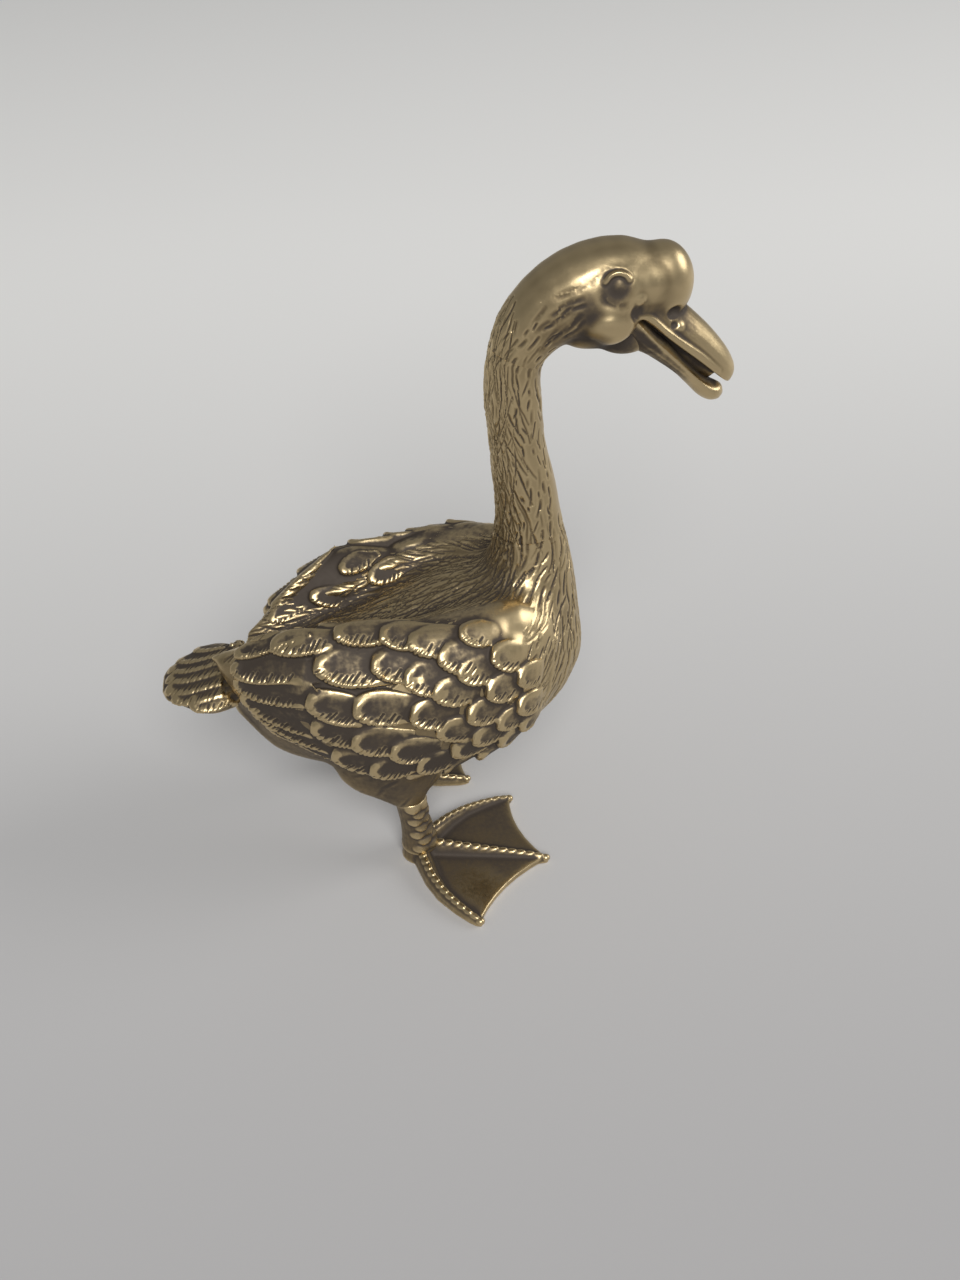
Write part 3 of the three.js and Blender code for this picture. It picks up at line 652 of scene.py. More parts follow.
def featherTree():
    tree = bpy.data.node_groups.new("layFeathers", "GeometryNodeTree")
    face = tree.interface
    face.new_socket("Geometry", in_out="OUTPUT", socket_type="NodeSocketGeometry")
    sockets = {
        "Seats": "NodeSocketGeometry",
        "Feather": "NodeSocketObject",
        "Surface": "NodeSocketObject",
        "Relief": "NodeSocketFloat",
        "Finish": "NodeSocketMaterial",
    }
    for name, kind in sockets.items():
        face.new_socket(name, in_out="INPUT", socket_type=kind)
    bench = Wire(tree)
    group = tree.nodes.new("NodeGroupInput")
    given = {name: Wire(tree, group.outputs[name]) for name in sockets}

    def noted(name, kind):
        return bench.add("GeometryNodeInputNamedAttribute", {"data_type": kind}, {"Name": name})

    feather = bench.add("GeometryNodeObjectInfo", None, {"Object": given["Feather"]}, "Geometry")
    surface = bench.add("GeometryNodeObjectInfo", None, {"Object": given["Surface"]}, "Geometry")
    turn = bench.add(
        "FunctionNodeAxesToRotation",
        {"primary_axis": "Z", "secondary_axis": "X"},
        {"Primary Axis": noted("up", "FLOAT_VECTOR"), "Secondary Axis": noted("aim", "FLOAT_VECTOR")},
    )
    placed = {"Rotation": turn, "Scale": noted("size", "FLOAT_VECTOR")}
    laid = bench.add(
        "GeometryNodeInstanceOnPoints", None, {"Points": given["Seats"], "Instance": feather, **placed}
    )
    loose = bench.add("GeometryNodeRealizeInstances", None, {"Geometry": laid})
    here = bench.add("GeometryNodeInputPosition")
    facing = bench.add("GeometryNodeInputNormal")

    def sampled(value):
        inputs = {"Mesh": surface, "Value": value, "Sample Position": here}
        return bench.add("GeometryNodeSampleNearestSurface", {"data_type": "FLOAT_VECTOR"}, inputs)

    lift = noted("rise", "FLOAT") * noted("thick", "FLOAT") * given["Relief"]
    raised = bench.add(
        "ShaderNodeVectorMath", {"operation": "SCALE"}, {"Vector": sampled(facing), "Scale": lift}
    )
    spot = bench.add("ShaderNodeVectorMath", {"operation": "ADD"}, {0: sampled(here), 1: raised})
    hugging = bench.add("GeometryNodeSetPosition", None, {"Geometry": loose, "Position": spot})
    finished = bench.add("GeometryNodeSetMaterial", None, {"Geometry": hugging, "Material": given["Finish"]})
    bench.add("NodeGroupOutput", None, {"Geometry": finished})
    return tree


layFeathers = featherTree()


def laidFeathers(seats, look, side, surface, relief=1.0):
    mesh = bpy.data.meshes.new("seats")
    mesh.from_pydata([tuple(seat["spot"]) for seat in seats], [], [])
    for name in ("up", "aim", "size", "thick"):
        mark(mesh, name, [seat[name] for seat in seats])
    holder = linked("seats", mesh)
    surface.store()
    carrier = linked("carrier", surface.mesh)
    feather = linked("feather", featherShape(look, side))
    lay = holder.modifiers.new("lay", "NODES")
    lay.node_group = layFeathers
    values = {"Feather": feather, "Surface": carrier, "Relief": relief, "Finish": brass}
    for item in layFeathers.interface.items_tree:
        if item.in_out == "INPUT" and item.name in values:
            lay[item.identifier] = values[item.name]
    made = Casting(applied(holder))
    for spare in (holder, carrier, feather):
        bpy.data.objects.remove(spare)
    return made


def onFeather(seat, look, side, low, place, surfaceTree):
    length, width, _ = seat["size"]
    aim = np.array(seat["aim"])
    across = np.cross(np.array(seat["up"]), aim)
    half = featherHalf(place, look)[0]
    flat = np.array(seat["spot"]) + aim * (place - 1) * length - side * across * 0.5 * half * low * width
    base, up, _, _ = surfaceTree.find_nearest(Vector(flat))
    return base + up * float(featherHeight(-side * low, place, look, side) * seat["thick"])


# The proud edge and end of each feather, where they show; these are rubbed bright
def ridges(seats, look, side, surfaceTree, topTree):
    path = [(ridgeAt, t) for t in np.linspace(0.25, look["taper"], 24)]
    for turn in np.linspace(0, 1.9, 20):
        end = ridgeAt * math.sin(turn)
        low = ridgeAt * math.cos(turn) / math.sqrt(1 - end * end)
        path.append((low, look["taper"] + end * (1 - look["taper"])))
    spots = [onFeather(seat, look, side, *place, surfaceTree) for seat in seats for place in path]
    found = [topTree.find_nearest(spot) for spot in spots]
    return [np.array(seen) for seen, _, _, gap in found if gap < seenGap]


# Barbs: short notches cut slantwise over the proud edge of a feather, where it shows
barbLook = dict(
    span=(0.3, 0.92), start=(0.2, 0.55), end=0.97, last=0.96, slant=0.3, jitter=(-0.012, 0.012),
    points=10, width=(0.1, 0.16), deepen=(0.5, 1.2),
)


def barbs(seats, look, side, surfaceTree, topTree, space, depth):
    strokes = []
    for seat in seats:
        length, width, _ = seat["size"]
        slant = barbLook["slant"] * width / length
        for t in np.arange(*barbLook["span"], space / length):
            start = dice.uniform(*barbLook["start"])
            lows = start + (barbLook["end"] - start) * np.linspace(0, 1, barbLook["points"])
            places = t + slant * (lows - start) + dice.uniform(*barbLook["jitter"])
            line = []
            for low, place in zip(lows, places):
                if place > barbLook["last"]:
                    continue
                spot = onFeather(seat, look, side, low, place, surfaceTree)
                seen, _, _, gap = topTree.find_nearest(spot)
                if gap < seenGap:
                    line.append(np.array(seen))
            if len(line) > 3:
                wide = dice.uniform(*barbLook["width"])
                deep = depth * dice.uniform(*barbLook["deepen"])
                strokes.append(dict(line=even(line, 0.05), width=wide, depth=deep))
    return strokes


def seatAt(spot, up, aim, length, width, thick=1.0):
    return dict(spot=spot, up=up, aim=aim, size=(length, width, 1), thick=thick)


def seatRow(row, side, tree):
    length, width, tips = row
    seats = []
    for share, rise in tips:
        turn = math.radians(rise - wingLook["topTurn"][side] * ramp(rise, *wingLook["topRows"]))
        x = wingLook["shoulder"] - (1 - share) * wingLook["lengths"][side]
        out = Vector((0, side * math.cos(turn), math.sin(turn)))
        axis = Vector((x, midY, wingLook["axisHeight"]))
        spot, up, _, _ = tree.ray_cast(axis + out * 40, -out)
        if spot is None:
            spot, up, _, _ = tree.find_nearest(axis + out * 7)
        aim = flatOn(Vector((-1, 0, dice.uniform(*wingLook["slope"]))), up)
        grow = dice.uniform(*wingLook["grow"])
        wide = width * grow * (1 - wingLook["topNarrow"] * ramp(rise, *wingLook["narrowRows"]))
        seats.append(seatAt(spot, up, aim, length * grow, wide))
    return seats


def crestSeats(side, tree):
    seats = []
    front = wingLook["shoulder"]
    reach = wingLook["lengths"][side] / wingLook["lengths"][1]
    for (x, y, z), (ax, ay, az), length, width in wingLook["crests"]:
        spot, up, _, _ = tree.find_nearest((front - (front - x) * reach, midY + side * y, z))
        aim = flatOn(Vector((ax, side * ay, az)), up)
        seats.append(seatAt(spot, up, aim, length, width, wingLook["crestThick"]))
    return seats


# Quills and coverts ride a hull drawn over their wing, so that they lie true at its edges
def wingHull(node):
    form = bmesh.new()
    for spot in cadShell(node).points:
        form.verts.new(spot)
    found = bmesh.ops.convex_hull(form, input=form.verts)
    inner = [item for item in found["geom_interior"] if isinstance(item, bmesh.types.BMVert)]
    bmesh.ops.delete(form, geom=inner, context="VERTS")
    hull = fuse([drawn(form, "hull")], wingLook["hullVoxel"])
    return hull.smooth(wingLook["hullRounds"]).push(-wingLook["hullSink"])


def wing(node, side):
    tipX = wingLook["shoulder"] - (1 - wingLook["tipCut"]) * wingLook["lengths"][side]
    tip = ((tipX, 0, wingLook["tipHeight"]), wingLook["tipWay"])
    base = fuse([cadShell(node, wingLook["baseGrow"])], wingLook["baseVoxel"])
    base.smooth(wingLook["baseRounds"]).push(-wingLook["sunk"])
    hull = wingHull(node)
    hullTree = hull.tree()
    fill = wingHull(node)  # closes the gaps under the feathers and fades out forward
    fade = ramp(fill.points[:, 0], *wingLook["fillSpan"])
    fill.push(-wingLook["fillSink"] - wingLook["fillFade"] * fade)
    front = ((wingLook["fillSpan"][1], 0, 20), (1, 0, 0))
    parts = [cutAt(base, [tip]), cutAt(fill, [tip, front])]
    laid = []
    for rows, look, carrier, tree in (
        ("quills", quill, hull, hullTree),
        ("coverts", covert, hull, hullTree),
        ("scales", scale, core, coreTree),
    ):
        seats = [seat for row in wingLook[rows] for seat in seatRow(row, side, tree)]
        parts.append(laidFeathers(seats, look, side, carrier))
        laid.append((seats, look, side, tree))
    seats = crestSeats(side, hullTree)
    parts.append(laidFeathers(seats, crest, -side, hull))
    laid.append((seats, crest, -side, hullTree))
    made = fuse(parts, wingLook["voxel"]).smooth(2)
    top = made.tree()
    strokes = []
    for row, (space, depth) in zip(laid, wingLook["barbs"]):
        strokes += barbs(*row, top, space, depth)
    proud = [spot for row in laid for spot in ridges(*row, top)]
    return carve(made, strokes), proud


# How sheltered each place of the whole goose is, from rays cast over a coarse copy; it darkens the colour as
# painted shade, partly standing for the patina that gathers in sheltered places
shelterShadeLook = dict(voxel=0.45, seed=5, rays=48, reach=9.0, lift=0.3, least=0.1)


def shelterShadeMap():
    whole = fuse([cadShell(name) for name in sorted(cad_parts)], shelterShadeLook["voxel"])
    tree = whole.tree()
    ways = unit(np.random.default_rng(shelterShadeLook["seed"]).normal(size=(shelterShadeLook["rays"], 3)))
    shelterShade = np.zeros(len(whole.points))
    for i, (spot, up) in enumerate(zip(whole.points, whole.normals())):
        tilt = ways @ up
        out = tilt > shelterShadeLook["least"]
        start = Vector(spot + shelterShadeLook["lift"] * up)
        hits = [tree.ray_cast(start, Vector(way), shelterShadeLook["reach"])[0] is not None for way in ways[out]]
        shelterShade[i] = np.average(hits, weights=tilt[out])
    return pointTree(whole.points), whole.around(whole.around(shelterShade))


shelterShadeTree, shelterShadeValues = shelterShadeMap()
print("shelter map", len(shelterShadeValues), "points")

# Patina and painted light: the hollow and worn values are shares of one, fine and broad hollows, shelter, and
# what isn't rubbed; shelter and what isn't rubbed are painted shade, partly standing for patina and less wear
patinaAndLightLook = dict(
    fineReach=0.12, broadReach=0.35, fineDepth=0.035, broadDepth=0.09, deepest=1.5, step=0.6,
    hollow=(0.2, 0.3, 0.35, 0.45, 0.22), wornAndLit=(0.5, -0.35, -0.45, -0.7, -0.3),
    rubbedAndLit=(7.0, 24.0), rubbedAndLitLean=0.35, bare=(2.0, 13.0), bareLean=0.6, bareHeight=20, bareDull=0.4,
    ridgeReach=0.4, ridgeClean=0.28, ridgeWorn=0.55, ridgeRise=(11, 20), ridgeLow=0.3,
    rim=0.3, beside=0.8, spared=1.5, mostTriangles=190000,
)


def nearness(points, spots, reach):
    lookUp = pointTree(spots)
    away = np.array([lookUp.find(point)[2] for point in points])
    return 1 - ramp(away, 0.3 * reach, reach)


def hollows(casting):  # how deep each point lies in its surroundings, first finely and then broadly
    facing = casting.normals()
    soft = casting.points
    a, b = casting.ends.T
    edge = np.median(np.linalg.norm(soft[a] - soft[b], axis=1))
    step, deepest = patinaAndLightLook["step"], patinaAndLightLook["deepest"]
    done = 0
    found = []
    for kind in ("fine", "broad"):
        goal = max(2, int(2 * patinaAndLightLook[kind + "Reach"] ** 2 / (step * edge**2)))
        for _ in range(goal - done):
            soft = soft + step * (casting.around(soft) - soft)
        done = goal
        depth = ((soft - casting.points) * facing).sum(1)
        found.append(np.clip(depth / patinaAndLightLook[kind + "Depth"], -deepest, deepest))
    return found


def patinaAndPaintedLight(casting, seams, stainsAndPaintedLight, proud, dullAndShade, polishAndLight):
    points = casting.points
    x, y, z = points.T
    fine, broad = hollows(casting)
    nearest = [shelterShadeTree.find(spot)[1] for spot in points]
    shelterShade = casting.around(casting.around(shelterShadeValues[nearest]))
    # painted shade: darker towards the bottom and the back, partly standing for less wear there
    rubbedAndLit = ramp(z + patinaAndLightLook["rubbedAndLitLean"] * x, *patinaAndLightLook["rubbedAndLit"])
    shares = np.stack([np.ones(len(x)), fine, broad, shelterShade, 1 - rubbedAndLit])
    hollow = np.array(patinaAndLightLook["hollow"]) @ shares
    wornAndLit = np.array(patinaAndLightLook["wornAndLit"]) @ shares
    # painted shade: each piece's dull amount darkens it, less towards the front and top; partly it stands for
    # duller, less rubbed metal
    forward = x + patinaAndLightLook["bareLean"] * (z - patinaAndLightLook["bareHeight"])
    bare = ramp(forward, *patinaAndLightLook["bare"])
    shade = dullAndShade * (1 - patinaAndLightLook["bareDull"] * bare)
    hollow += shade
    if len(proud):
        low = patinaAndLightLook["ridgeLow"]
        near = nearness(points, proud, patinaAndLightLook["ridgeReach"]) * polishAndLight
        # painted shade: the ridges of the lower rows are brightened less
        near *= low + (1 - low) * ramp(z, *patinaAndLightLook["ridgeRise"])
        hollow -= (shade + patinaAndLightLook["ridgeClean"]) * near
        wornAndLit += patinaAndLightLook["ridgeWorn"] * near
    # spots of real stain, painted shade and painted highlight; a negative amount brightens
    for (sx, sy, sz), reach, amount in stainsAndPaintedLight:
        away = np.sqrt((x - sx) ** 2 + (np.abs(y - midY) - sy) ** 2 + (z - sz) ** 2) / reach
        stainAndLight = amount * np.clip(1 - away**2, 0, 1)
        hollow += stainAndLight
        wornAndLit -= stainAndLight
    for seam in seams:  # a cut rim takes its tone from beside it
        past = np.abs(pastSeam(points, seam))
        rim = past < patinaAndLightLook["rim"]
        beside = np.flatnonzero(~rim & (past < patinaAndLightLook["beside"]))
        if len(beside):
            lookUp = pointTree(points[beside])
            donor = beside[[lookUp.find(spot)[1] for spot in points[rim]]]
            hollow[rim] = hollow[donor]
            wornAndLit[rim] = wornAndLit[donor]
    return dict(hollow=np.clip(hollow, 0, 1), wornAndLit=np.clip(wornAndLit, 0, 1))


def thinned(piece, share, inside):  # points that aren't inside all stay
    piece.vertex_groups.new(name="inside").add(np.flatnonzero(inside).tolist(), 1.0, "REPLACE")
    thin = piece.modifiers.new("thin", "DECIMATE")
    thin.ratio = share
    thin.vertex_group = "inside"
    piece.data = applied(piece)
    piece.modifiers.clear()


def finish(casting, name, node, seams=(), stainsAndPaintedLight=(), proud=(), dullAndShade=0.0, polishAndLight=1.0):
    mesh = casting.mesh
    for label, values in patinaAndPaintedLight(casting, seams, stainsAndPaintedLight, proud, dullAndShade, polishAndLight).items():
        mark(mesh, label, values)
    inside = np.ones(len(casting.points), bool)
    for seam in seams:
        inside &= np.abs(pastSeam(casting.points, seam)) > patinaAndLightLook["spared"]
    casting.points *= mm
    casting.store()
    mesh.shade_smooth()
    mesh.materials.clear()
    mesh.materials.append(brass)
    piece = linked(name, mesh)
    triangles = sum(len(face.vertices) - 2 for face in mesh.polygons)
    if triangles > patinaAndLightLook["mostTriangles"]:
        thinned(piece, patinaAndLightLook["mostTriangles"] / triangles, inside)
    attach(piece, "root")
    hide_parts(node)
    print(name, triangles, "triangles, kept", len(piece.data.polygons), "faces")


for name, node, side in (("rightWing", "right_wing", -1), ("leftWing", "left_wing", 1)):
    made, proud = wing(node, side)
    dullAndShade, polishAndLight = wingLook["dullAndShade"][side], wingLook["polishAndLight"][side]
    finish(made, name, node, stainsAndPaintedLight=wingLook["shine"], proud=proud, dullAndShade=dullAndShade, polishAndLight=polishAndLight)

lap = seamLook["overlap"]
upper = cutAt(core, [turned(offset(seamLook["neck"], -seamLook["spare"]))], 1).smooth(3)
torso = carve(cutAt(core, [seamLook["neck"]]), chasing)
neck = carve(cutAt(upper, [seamLook["head"], turned(offset(seamLook["neck"], -lap))]), chasing)
head = cutAt(upper, [turned(offset(seamLook["head"], -lap))])


def sunkEnd(casting, seam, sink=0.02):  # the end that laps under a neighbour
    return casting.push(-sink * ramp(-pastSeam(casting.points, seam), 0, 0.15))


sunkEnd(neck, seamLook["neck"])

# Bill: rows of place along it, half width, height over and depth under its edge
billLook = dict(
    corner=(16.14, 49.46),
    pitch=39.6,
    rows=[
        (-1.5, 2.1, 1.55, 0.3), (-0.4, 2.42, 2.05, 0.25), (1.6, 2.48, 2.26, 0.25), (3.6, 2.3, 2.24, 0.25),
        (5.4, 1.96, 2.1, 0.22), (7.2, 1.7, 1.78, 0.22), (8.4, 1.42, 1.38, 0.22), (9.05, 1.0, 0.98, 0.25),
        (9.4, 0.45, 0.5, 0.2),
    ],
    lowerCorner=(15.3, 49.3),
    lowerPitch=44.4,
    lowerRows=[
        (-1.8, 1.3, 0.3, 1.4), (0.2, 1.85, 0.5, 1.75), (1.9, 2.1, 0.5, 1.8), (3.3, 2.02, 0.6, 1.4),
        (5.8, 1.72, 0.4, 1.0), (7.5, 1.42, 0.3, 0.98), (8.9, 1.28, 0.5, 1.0),
        (9.8, 1.05, 0.8, 0.8), (10.4, 0.5, 0.55, 0.4),
    ],
    palate=[(-0.6, 1.5, 0.6, 1.6), (3.0, 1.2, 0.8, 1.5), (6.0, 0.9, 0.6, 1.3), (8.0, 0.5, 0.4, 1.0)],
    root=((17.0, 50.5), 60, 2.2, 1.2),
    voxel=0.07,
    # painted shade in the mouth, at the lower bill's root under the upper bill and along its side, and the
    # whole lower bill darker
    stainsAndPaintedLight=[
        ((16.0, 1.6, 48.0), 1.9, 0.5), ((17.6, 0, 47.8), 1.7, 0.4), ((19.2, 0, 46.2), 1.5, 0.4),
        ((21.0, 0, 44.4), 1.3, 0.4), ((22.3, 0, 42.8), 1.2, 0.3), ((18.5, 1.4, 45.3), 2.4, 0.3),
    ],
    dullAndShade=0.36,
)


def skin(points, count, reverse=False):  # rings of points closed into a shell
    first = tuple(range(count))
    last = tuple(range(len(points) - count, len(points)))
    faces = [first, last[::-1]] if reverse else [first[::-1], last]
    for start in range(0, len(points) - count, count):
        for i in range(count):
            a, b = start + i, start + (i + 1) % count
            if reverse:
                a, b = b, a
            faces.append((a, b, b + count, a + count))
    return shell(points, faces)


def loft(rows, corner, pitch):
    rows = curved(rows, 6)
    share = np.linspace(-1, 1, 15)
    swell = (1 - share**2) ** 0.62
    across = np.concatenate([share, share[-2:0:-1]])
    rise = np.stack([np.concatenate([over * swell, -under * swell[-2:0:-1]]) for _, _, over, under in rows])
    turn = math.radians(pitch)
    x = corner[0] + rows[:, :1] * math.cos(turn) + rise * math.sin(turn)
    z = corner[1] - rows[:, :1] * math.sin(turn) + rise * math.cos(turn)
    y = midY + rows[:, 1:2] * across
    points = np.stack([x, y, z], -1).reshape(-1, 3)
    return skin(points, len(across), reverse=True)


upperBill = loft(billLook["rows"], billLook["corner"], billLook["pitch"])
palate = loft(billLook["palate"], billLook["corner"], billLook["pitch"])
head = sunkEnd(fuse([head, upperBill, palate], billLook["voxel"]).smooth(2), seamLook["head"])
softenAt(head, *billLook["root"])

# Face: dabs and lines in side view, worked on both sides of the head
faceLook = [
    dict(
        dabs=[
            ((13.4, 3.3, 52.45), 1.65, -0.44),
            ((13.45, 3.3, 52.6), 0.8, 0.2),
            ((15.0, 3.0, 50.5), 0.9, -0.2),
            ((15.1, 3.0, 51.6), 0.6, 0.14),
            ((16.0, 2.4, 52.7), 1.5, 0.16),
            ((13.0, 3.6, 50.3), 1.5, 0.12),
        ],
        lines=[
            (
                [(15.2, 53.4), (14.4, 53.95), (13.4, 54.15), (12.3, 53.85), (11.2, 53.3), (10.2, 52.8)],
                1.0, -0.03,
            ),
            (
                [(15.2, 49.9), (16.2, 49.75), (17.4, 48.75), (19.0, 47.5), (20.6, 46.2), (22.0, 44.9)],
                0.32, -0.13,
            ),
        ],
    ),
    dict(
        dabs=[
            ((18.1, 2.2, 49.9), 0.7, -0.35),
            ((18.75, 2.2, 49.0), 0.5, 0.1),
            ((18.1, 2.3, 49.15), 0.4, -0.2),
        ],
        lines=[([(12.55, 52.95), (12.9, 53.35), (13.45, 53.52), (13.95, 53.38), (14.2, 53.1)], 0.26, -0.24)],
    ),
]
# Creases of the face, cut as ragged runs of short strokes
creaseLook = [
    (
        [(14.7, 53.5), (14.0, 53.83), (13.3, 53.9), (12.4, 53.6), (11.5, 53.05), (10.6, 52.55), (9.7, 52.15)],
        0.4, 0.06,
    ),
    ([(12.2, 52.2), (12.6, 51.55), (13.5, 51.2), (14.4, 51.3)], 0.32, 0.12),
    ([(14.75, 51.2), (14.7, 50.5), (15.0, 49.9), (15.6, 49.3)], 0.36, 0.24),
    ([(11.2, 52.7), (10.1, 52.3), (9.1, 51.8)], 0.26, 0.1),
    ([(10.9, 51.9), (9.8, 51.4), (8.8, 50.5)], 0.26, 0.2),
    ([(11.2, 51.4), (10.2, 51.0), (9.4, 50.3)], 0.24, 0.18),
    ([(10.2, 51.3), (9.0, 50.2), (7.9, 49.3)], 0.24, 0.2),
    ([(10.8, 50.7), (10.1, 49.6), (9.0, 48.4)], 0.28, 0.22),
    ([(11.1, 50.1), (10.6, 49.3), (9.9, 48.7)], 0.24, 0.18),
    ([(8.4, 51.1), (7.5, 49.9)], 0.22, 0.16),
    ([(9.2, 49.3), (8.2, 47.8)], 0.24, 0.18),
]
creaseRun = dict(every=10, points=(18, 34), jitter=0.06, widen=(1.0, 1.5), deepen=(0.25, 0.5), lip=0.08)
# Stains and painted shade on the head: patina in the eye, the creases, the nostril and at the bill's base,
# and painted shade under the chin and jaw, below the mouth's corner and in the mouth
headStainsAndShade = [
    ((13.45, 3.3, 52.45), 1.35, 0.55), ((14.3, 1.4, 47.0), 2.3, 0.5), ((15.1, 3.0, 50.6), 1.2, 0.35),
    ((14.9, 2.5, 47.9), 1.8, 0.4), ((19.3, 1.4, 48.7), 2.4, 0.2),
    ((18.1, 2.2, 49.9), 0.9, 0.35), ((10.2, 3.0, 50.0), 2.8, 0.3), ((18.0, 0.0, 46.3), 1.9, 0.6),
    ((12.3, 3.0, 53.5), 1.2, 0.2), ((11.2, 3.2, 51.4), 1.8, 0.25), ((12.2, 2.4, 47.9), 2.0, 0.3),
    ((17.4, 2.0, 50.6), 1.6, 0.2), ((18.9, 0.6, 50.2), 1.2, 0.25), ((8.8, 2.4, 48.4), 2.0, 0.2),
    ((20.0, 0.0, 44.6), 1.6, 0.6), ((16.3, 0.0, 48.0), 1.8, 0.8), ((18.4, 1.9, 49.0), 1.8, 0.18),
]


def sideLine(tree, path, side):
    line = []
    for x, z in curved(path):
        spot = tree.ray_cast(Vector((x, midY + side * 20, z)), Vector((0, -side, 0)))[0]
        if spot:
            line.append(np.array(spot))
    return even(line)


def ragged(line, width, depth):
    strokes = []
    for start in range(0, len(line) - 6, creaseRun["every"]):
        count = int(dice.uniform(*creaseRun["points"]))
        stroke = line[start : start + count] + dice.normal(0, creaseRun["jitter"], 3)
        if len(stroke) > 5:
            wide = width * dice.uniform(*creaseRun["widen"])
            deep = depth * dice.uniform(*creaseRun["deepen"])
            strokes.append(dict(line=stroke, width=wide, depth=deep))
    return strokes


def sculptFace(casting):
    for step in faceLook:
        tree = casting.tree()
        strokes = []
        for side in (-1, 1):
            for (x, y, z), reach, amount in step["dabs"]:
                dab(casting, tree.find_nearest((x, midY + side * y, z))[0], reach, amount)
            for path, width, depth in step["lines"]:
                strokes.append(dict(line=sideLine(tree, path, side), width=width, depth=depth))
        carve(casting, strokes).smooth(1)
    tree = casting.tree()
    cuts = []
    for path, width, depth in creaseLook:
        for side in (-1, 1):
            cuts += ragged(sideLine(tree, path, side), width, depth)
    return carve(casting, cuts, creaseRun["lip"]).smooth(1)


carve(sculptFace(head), chasing)
# painted shade low on the flank, and painted highlights on the shoulder and on the breast below the neck
torsoShadeAndHighlights = [((-4.0, 6.0, 8.5), 5.0, 0.14), ((7.2, 6.4, 27.0), 3.4, -0.3), ((9.0, 3.4, 30.0), 3.0, -0.15)]
finish(torso, "torsoBody", "torso", [seamLook["neck"]], torsoShadeAndHighlights, dullAndShade=0.1)
finish(neck, "neckTube", "neck", [seamLook["head"], seamLook["neck"]])
finish(head, "headAndBill", "head", [seamLook["head"]], headStainsAndShade)
lower = loft(billLook["lowerRows"], billLook["lowerCorner"], billLook["lowerPitch"])
lower = fuse([lower], billLook["voxel"]).smooth(2)
finish(lower, "lowerBill", "lower_bill", [], billLook["stainsAndPaintedLight"], dullAndShade=billLook["dullAndShade"])

# Tail: a fan of quills over the CAD's blade
tailLook = dict(
    voxel=0.09, bladeVoxel=0.12, root=-13.5, gather=0.8, length=9.0, width=3.1, thick=0.42, inset=0.1,
    widen=0.22, widenFrom=(-22.0, -19.8), widenTo=(16.8, 19.2), shorten=0.4,
    asides=(3.5, 2.5, 1.35, 0.1, -1.2, -2.35, -3.4), search=(-26.0, -14.0, 0.1),
    barbs=(0.55, 0.08), dullAndShade=0.22,
)


def downOn(tree, x, y):
    return tree.ray_cast(Vector((x, y, 60)), Vector((0, 0, -1)))[:2]


def tailFan():
    blade = fuse([cadShell("tail", 0.1)], tailLook["bladeVoxel"]).push(-0.2).smooth(6)
    x, y, z = blade.points.T
    wider = tailLook["widen"] * ramp(x, *tailLook["widenFrom"]) * ramp(-x, *tailLook["widenTo"])
    blade.points[:, 1] = midY + (y - midY) * (1 + wider)
    tree = blade.tree()
    seats = []
    for aside in tailLook["asides"]:
        edge = next(x for x in np.arange(*tailLook["search"]) if downOn(tree, x, midY + aside)[0])
        x = edge + tailLook["inset"]
        spot = downOn(tree, x, midY + aside)[0]
        up = downOn(tree, x + 1.5, midY + aside)[1]
        aim = flatOn(Vector((x - tailLook["root"], aside * (1 - tailLook["gather"]), 0)), up)
        length = tailLook["length"] * (1 - tailLook["shorten"] * (aside / 4) ** 2)
        seats.append(seatAt(spot, up, aim, length, tailLook["width"], tailLook["thick"]))
    made = fuse([blade, laidFeathers(seats, quill, -1, blade)], tailLook["voxel"]).smooth(2)
    top = made.tree()
    proud = ridges(seats, quill, -1, tree, top)
    return carve(made, barbs(seats, quill, -1, tree, top, *tailLook["barbs"])), proud


made, proud = tailFan()
finish(made, "tailFan", "tail", proud=proud, dullAndShade=tailLook["dullAndShade"])

# Shanks and feet: tubes with rows of scutes, toes with beads along their ridges
legLook = dict(
    voxel=0.08,
    ankles={-1: (-2.485, -6.423), 1: (-6.685, 5.977)},
    turns={-1: -13.5, 1: 20.0},
    toes=[(10.8, 42, 1.1), (12.0, 0, 0.0), (10.4, -50, -1.1)],
    shank=[(0.1, 1.3, 1.7), (0.0, 2.4, 1.52), (-0.25, 4.2, 1.32), (-0.5, 6.2, 1.34), (-0.65, 7.6, 1.45)],
    scuteRows=7,
    scuteHeights=(1.7, 6.6),
    scuteTurns=(-1.5, -0.55, 0.4),
    scuteStagger=0.4,
    scuteSize=(0.85, 1.9),
    scuteGrow=(0.9, 1.1),
    scuteThick=0.42,
    beads=12,
    beadSpan=(0.16, 0.92),
    beadLength=0.9,
    beadSizes=[(1.3, 0.5), (0.5, 0.2)],  # width and thickness, and what they lose towards the claw
    clawAt=0.98,
    clawHeight=0.5,
    clawSize=(0.4, 0.36, 0.34),
    dullAndShade=0.2,
    footDullAndShade=0.12,
    # lighter in the middle of the near web
    webLighterPatch=[((2.4, 11.8, 0.7), 3.0, -0.26)],
)


def tube(rows, sides=22):
    rows = curved(rows, 5)
    turn = np.linspace(0, 2 * math.pi, sides, endpoint=False)
    rings = [np.stack([x + r * np.cos(turn), y + r * np.sin(turn), 0 * turn + z], 1) for x, y, z, r in rows]
    return skin(np.concatenate(rings), sides)


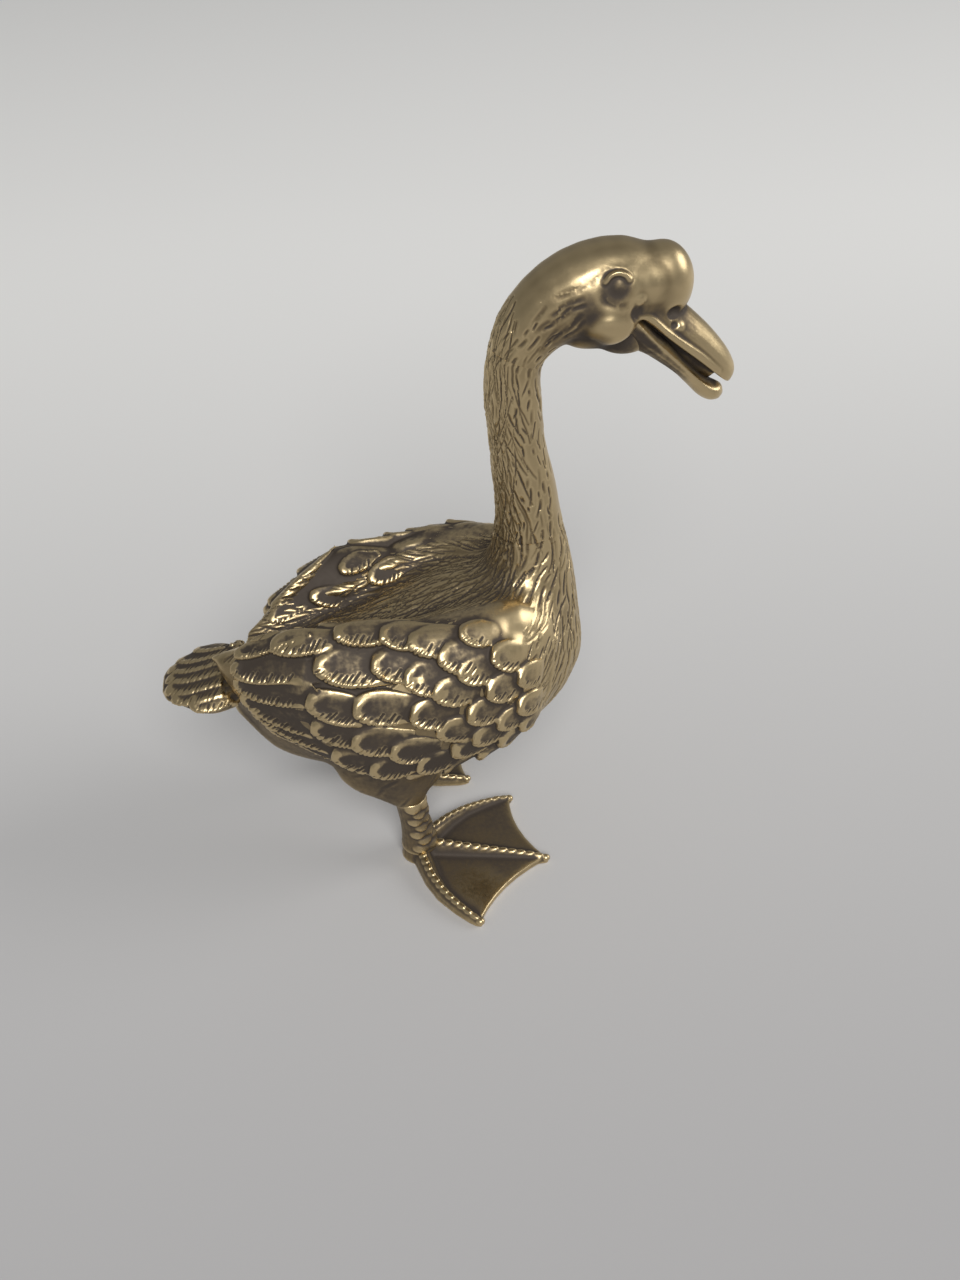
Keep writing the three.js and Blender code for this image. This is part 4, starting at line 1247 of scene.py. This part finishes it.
def shank(side):
    ankleX, ankleY = legLook["ankles"][side]
    rows = [(ankleX + x, ankleY, z, r) for x, z, r in legLook["shank"]]
    form = fuse([tube(rows)], legLook["voxel"]).smooth(4)
    tree = form.tree()
    length, width = legLook["scuteSize"]
    seats = []
    for row, z in enumerate(np.linspace(*legLook["scuteHeights"], legLook["scuteRows"])):
        for share in legLook["scuteTurns"]:
            turn = -side * (share + legLook["scuteStagger"] * (row % 2))
            out = Vector((math.cos(turn), math.sin(turn), 0))
            axis = Vector((ankleX - 0.1 * z + 0.15, ankleY, z))
            spot, up, _, _ = tree.ray_cast(axis + out * 6, -out)
            aim = flatOn(Vector((0, 0, -1)), up)
            grow = dice.uniform(*legLook["scuteGrow"])
            seats.append(seatAt(spot, up, aim, length * grow, width * grow, legLook["scuteThick"]))
    return fuse([form, laidFeathers(seats, bead, side, form)], legLook["voxel"]).smooth(2)


def toeSpot(side, toe, share):
    length, angle, bow = toe
    flat = Matrix.Rotation(math.radians(angle), 2) @ Vector((share * length, 4 * bow * share * (1 - share)))
    if side > 0:
        flat.y = -flat.y
    flat = Matrix.Rotation(math.radians(legLook["turns"][side]), 2) @ flat
    return Vector(legLook["ankles"][side]) + flat


def foot(node, side):
    form = fuse([cadShell(node, 0.1)], legLook["voxel"]).push(-0.1).smooth(4)
    tree = form.tree()
    length = legLook["beadLength"]
    seats = []
    claws = []
    for toe in legLook["toes"]:
        for share in np.linspace(*legLook["beadSpan"], legLook["beads"]):
            here = toeSpot(side, toe, share)
            way = (toeSpot(side, toe, share + 0.02) - here).normalized()
            spot, up = downOn(tree, *here)
            aim = flatOn(Vector((way.x, way.y, 0)), up)
            width, thick = (full - less * share for full, less in legLook["beadSizes"])
            seats.append(seatAt(spot + aim * 0.5 * length, up, aim, length, width, thick))
        tip = toeSpot(side, toe, legLook["clawAt"])
        claws.append(blob((tip.x, tip.y - midY, legLook["clawHeight"]), legLook["clawSize"]))
    return fuse([form, laidFeathers(seats, bead, side, form)] + claws, legLook["voxel"]).smooth(2)


finish(shank(-1), "rightShank", "right_leg", dullAndShade=legLook["dullAndShade"])
finish(shank(1), "leftShank", "left_leg", dullAndShade=legLook["dullAndShade"])
webLighterPatch, footDullAndShade = legLook["webLighterPatch"], legLook["footDullAndShade"]
finish(foot("right_foot", -1), "rightFoot", "right_foot", stainsAndPaintedLight=webLighterPatch, dullAndShade=footDullAndShade)
finish(foot("left_foot", 1), "leftFoot", "left_foot", dullAndShade=footDullAndShade)

# Floor, light and world
stageLook = dict(
    near=(0.42, 0.41, 0.41, 1), far=(0.93, 0.92, 0.89, 1), reach=(-0.1, 0.16),
    sky=(0.8, 0.81, 0.83, 1), skyStrength=0.3,
    lampAim=(0, 0, 0.03), lampSize=0.6,
    lamps=dict(keyLight=((0.0, -0.8, 0.74), 8.4), sideLight=((0.9, 0.0, 0.5), 3.2)),
)
floorMesh = bpy.data.meshes.new("floor")
floorMesh.from_pydata([(-1, -1, 0), (1, -1, 0), (1, 1, 0), (-1, 1, 0)], [], [(0, 1, 2, 3)])
floor = linked("floor", floorMesh)
paper = bpy.data.materials.new("palePaper")
paper.use_nodes = True
paper.node_tree.nodes.clear()
bench = Wire(paper.node_tree)
# painted shade and light: the floor's colour runs from darker near the camera to lighter far off
place = bench.add("ShaderNodeSeparateXYZ", None, {0: bench.add("ShaderNodeTexCoord", out=3)}, 1)
shade = place.between(*stageLook["reach"]).blend(stageLook["near"], stageLook["far"])
sheet = bench.add("ShaderNodeBsdfPrincipled", None, {"Base Color": shade, "Roughness": 0.9})
bench.add("ShaderNodeOutputMaterial", None, {"Surface": sheet})
floorMesh.materials.append(paper)
for name, (spot, power) in stageLook["lamps"].items():
    data = bpy.data.lights.new(name, "AREA")
    data.shape = "DISK"
    data.size = stageLook["lampSize"]
    data.energy = power
    light = linked(name, data)
    light.location = spot
    light.rotation_mode = "QUATERNION"
    light.rotation_quaternion = (Vector(stageLook["lampAim"]) - Vector(spot)).to_track_quat("-Z", "Y")
world = bpy.data.worlds.new("studio")
scene.world = world
world.use_nodes = True
world.node_tree.nodes["Background"].inputs["Color"].default_value = stageLook["sky"]
world.node_tree.nodes["Background"].inputs["Strength"].default_value = stageLook["skyStrength"]
print("floor and lamps set")
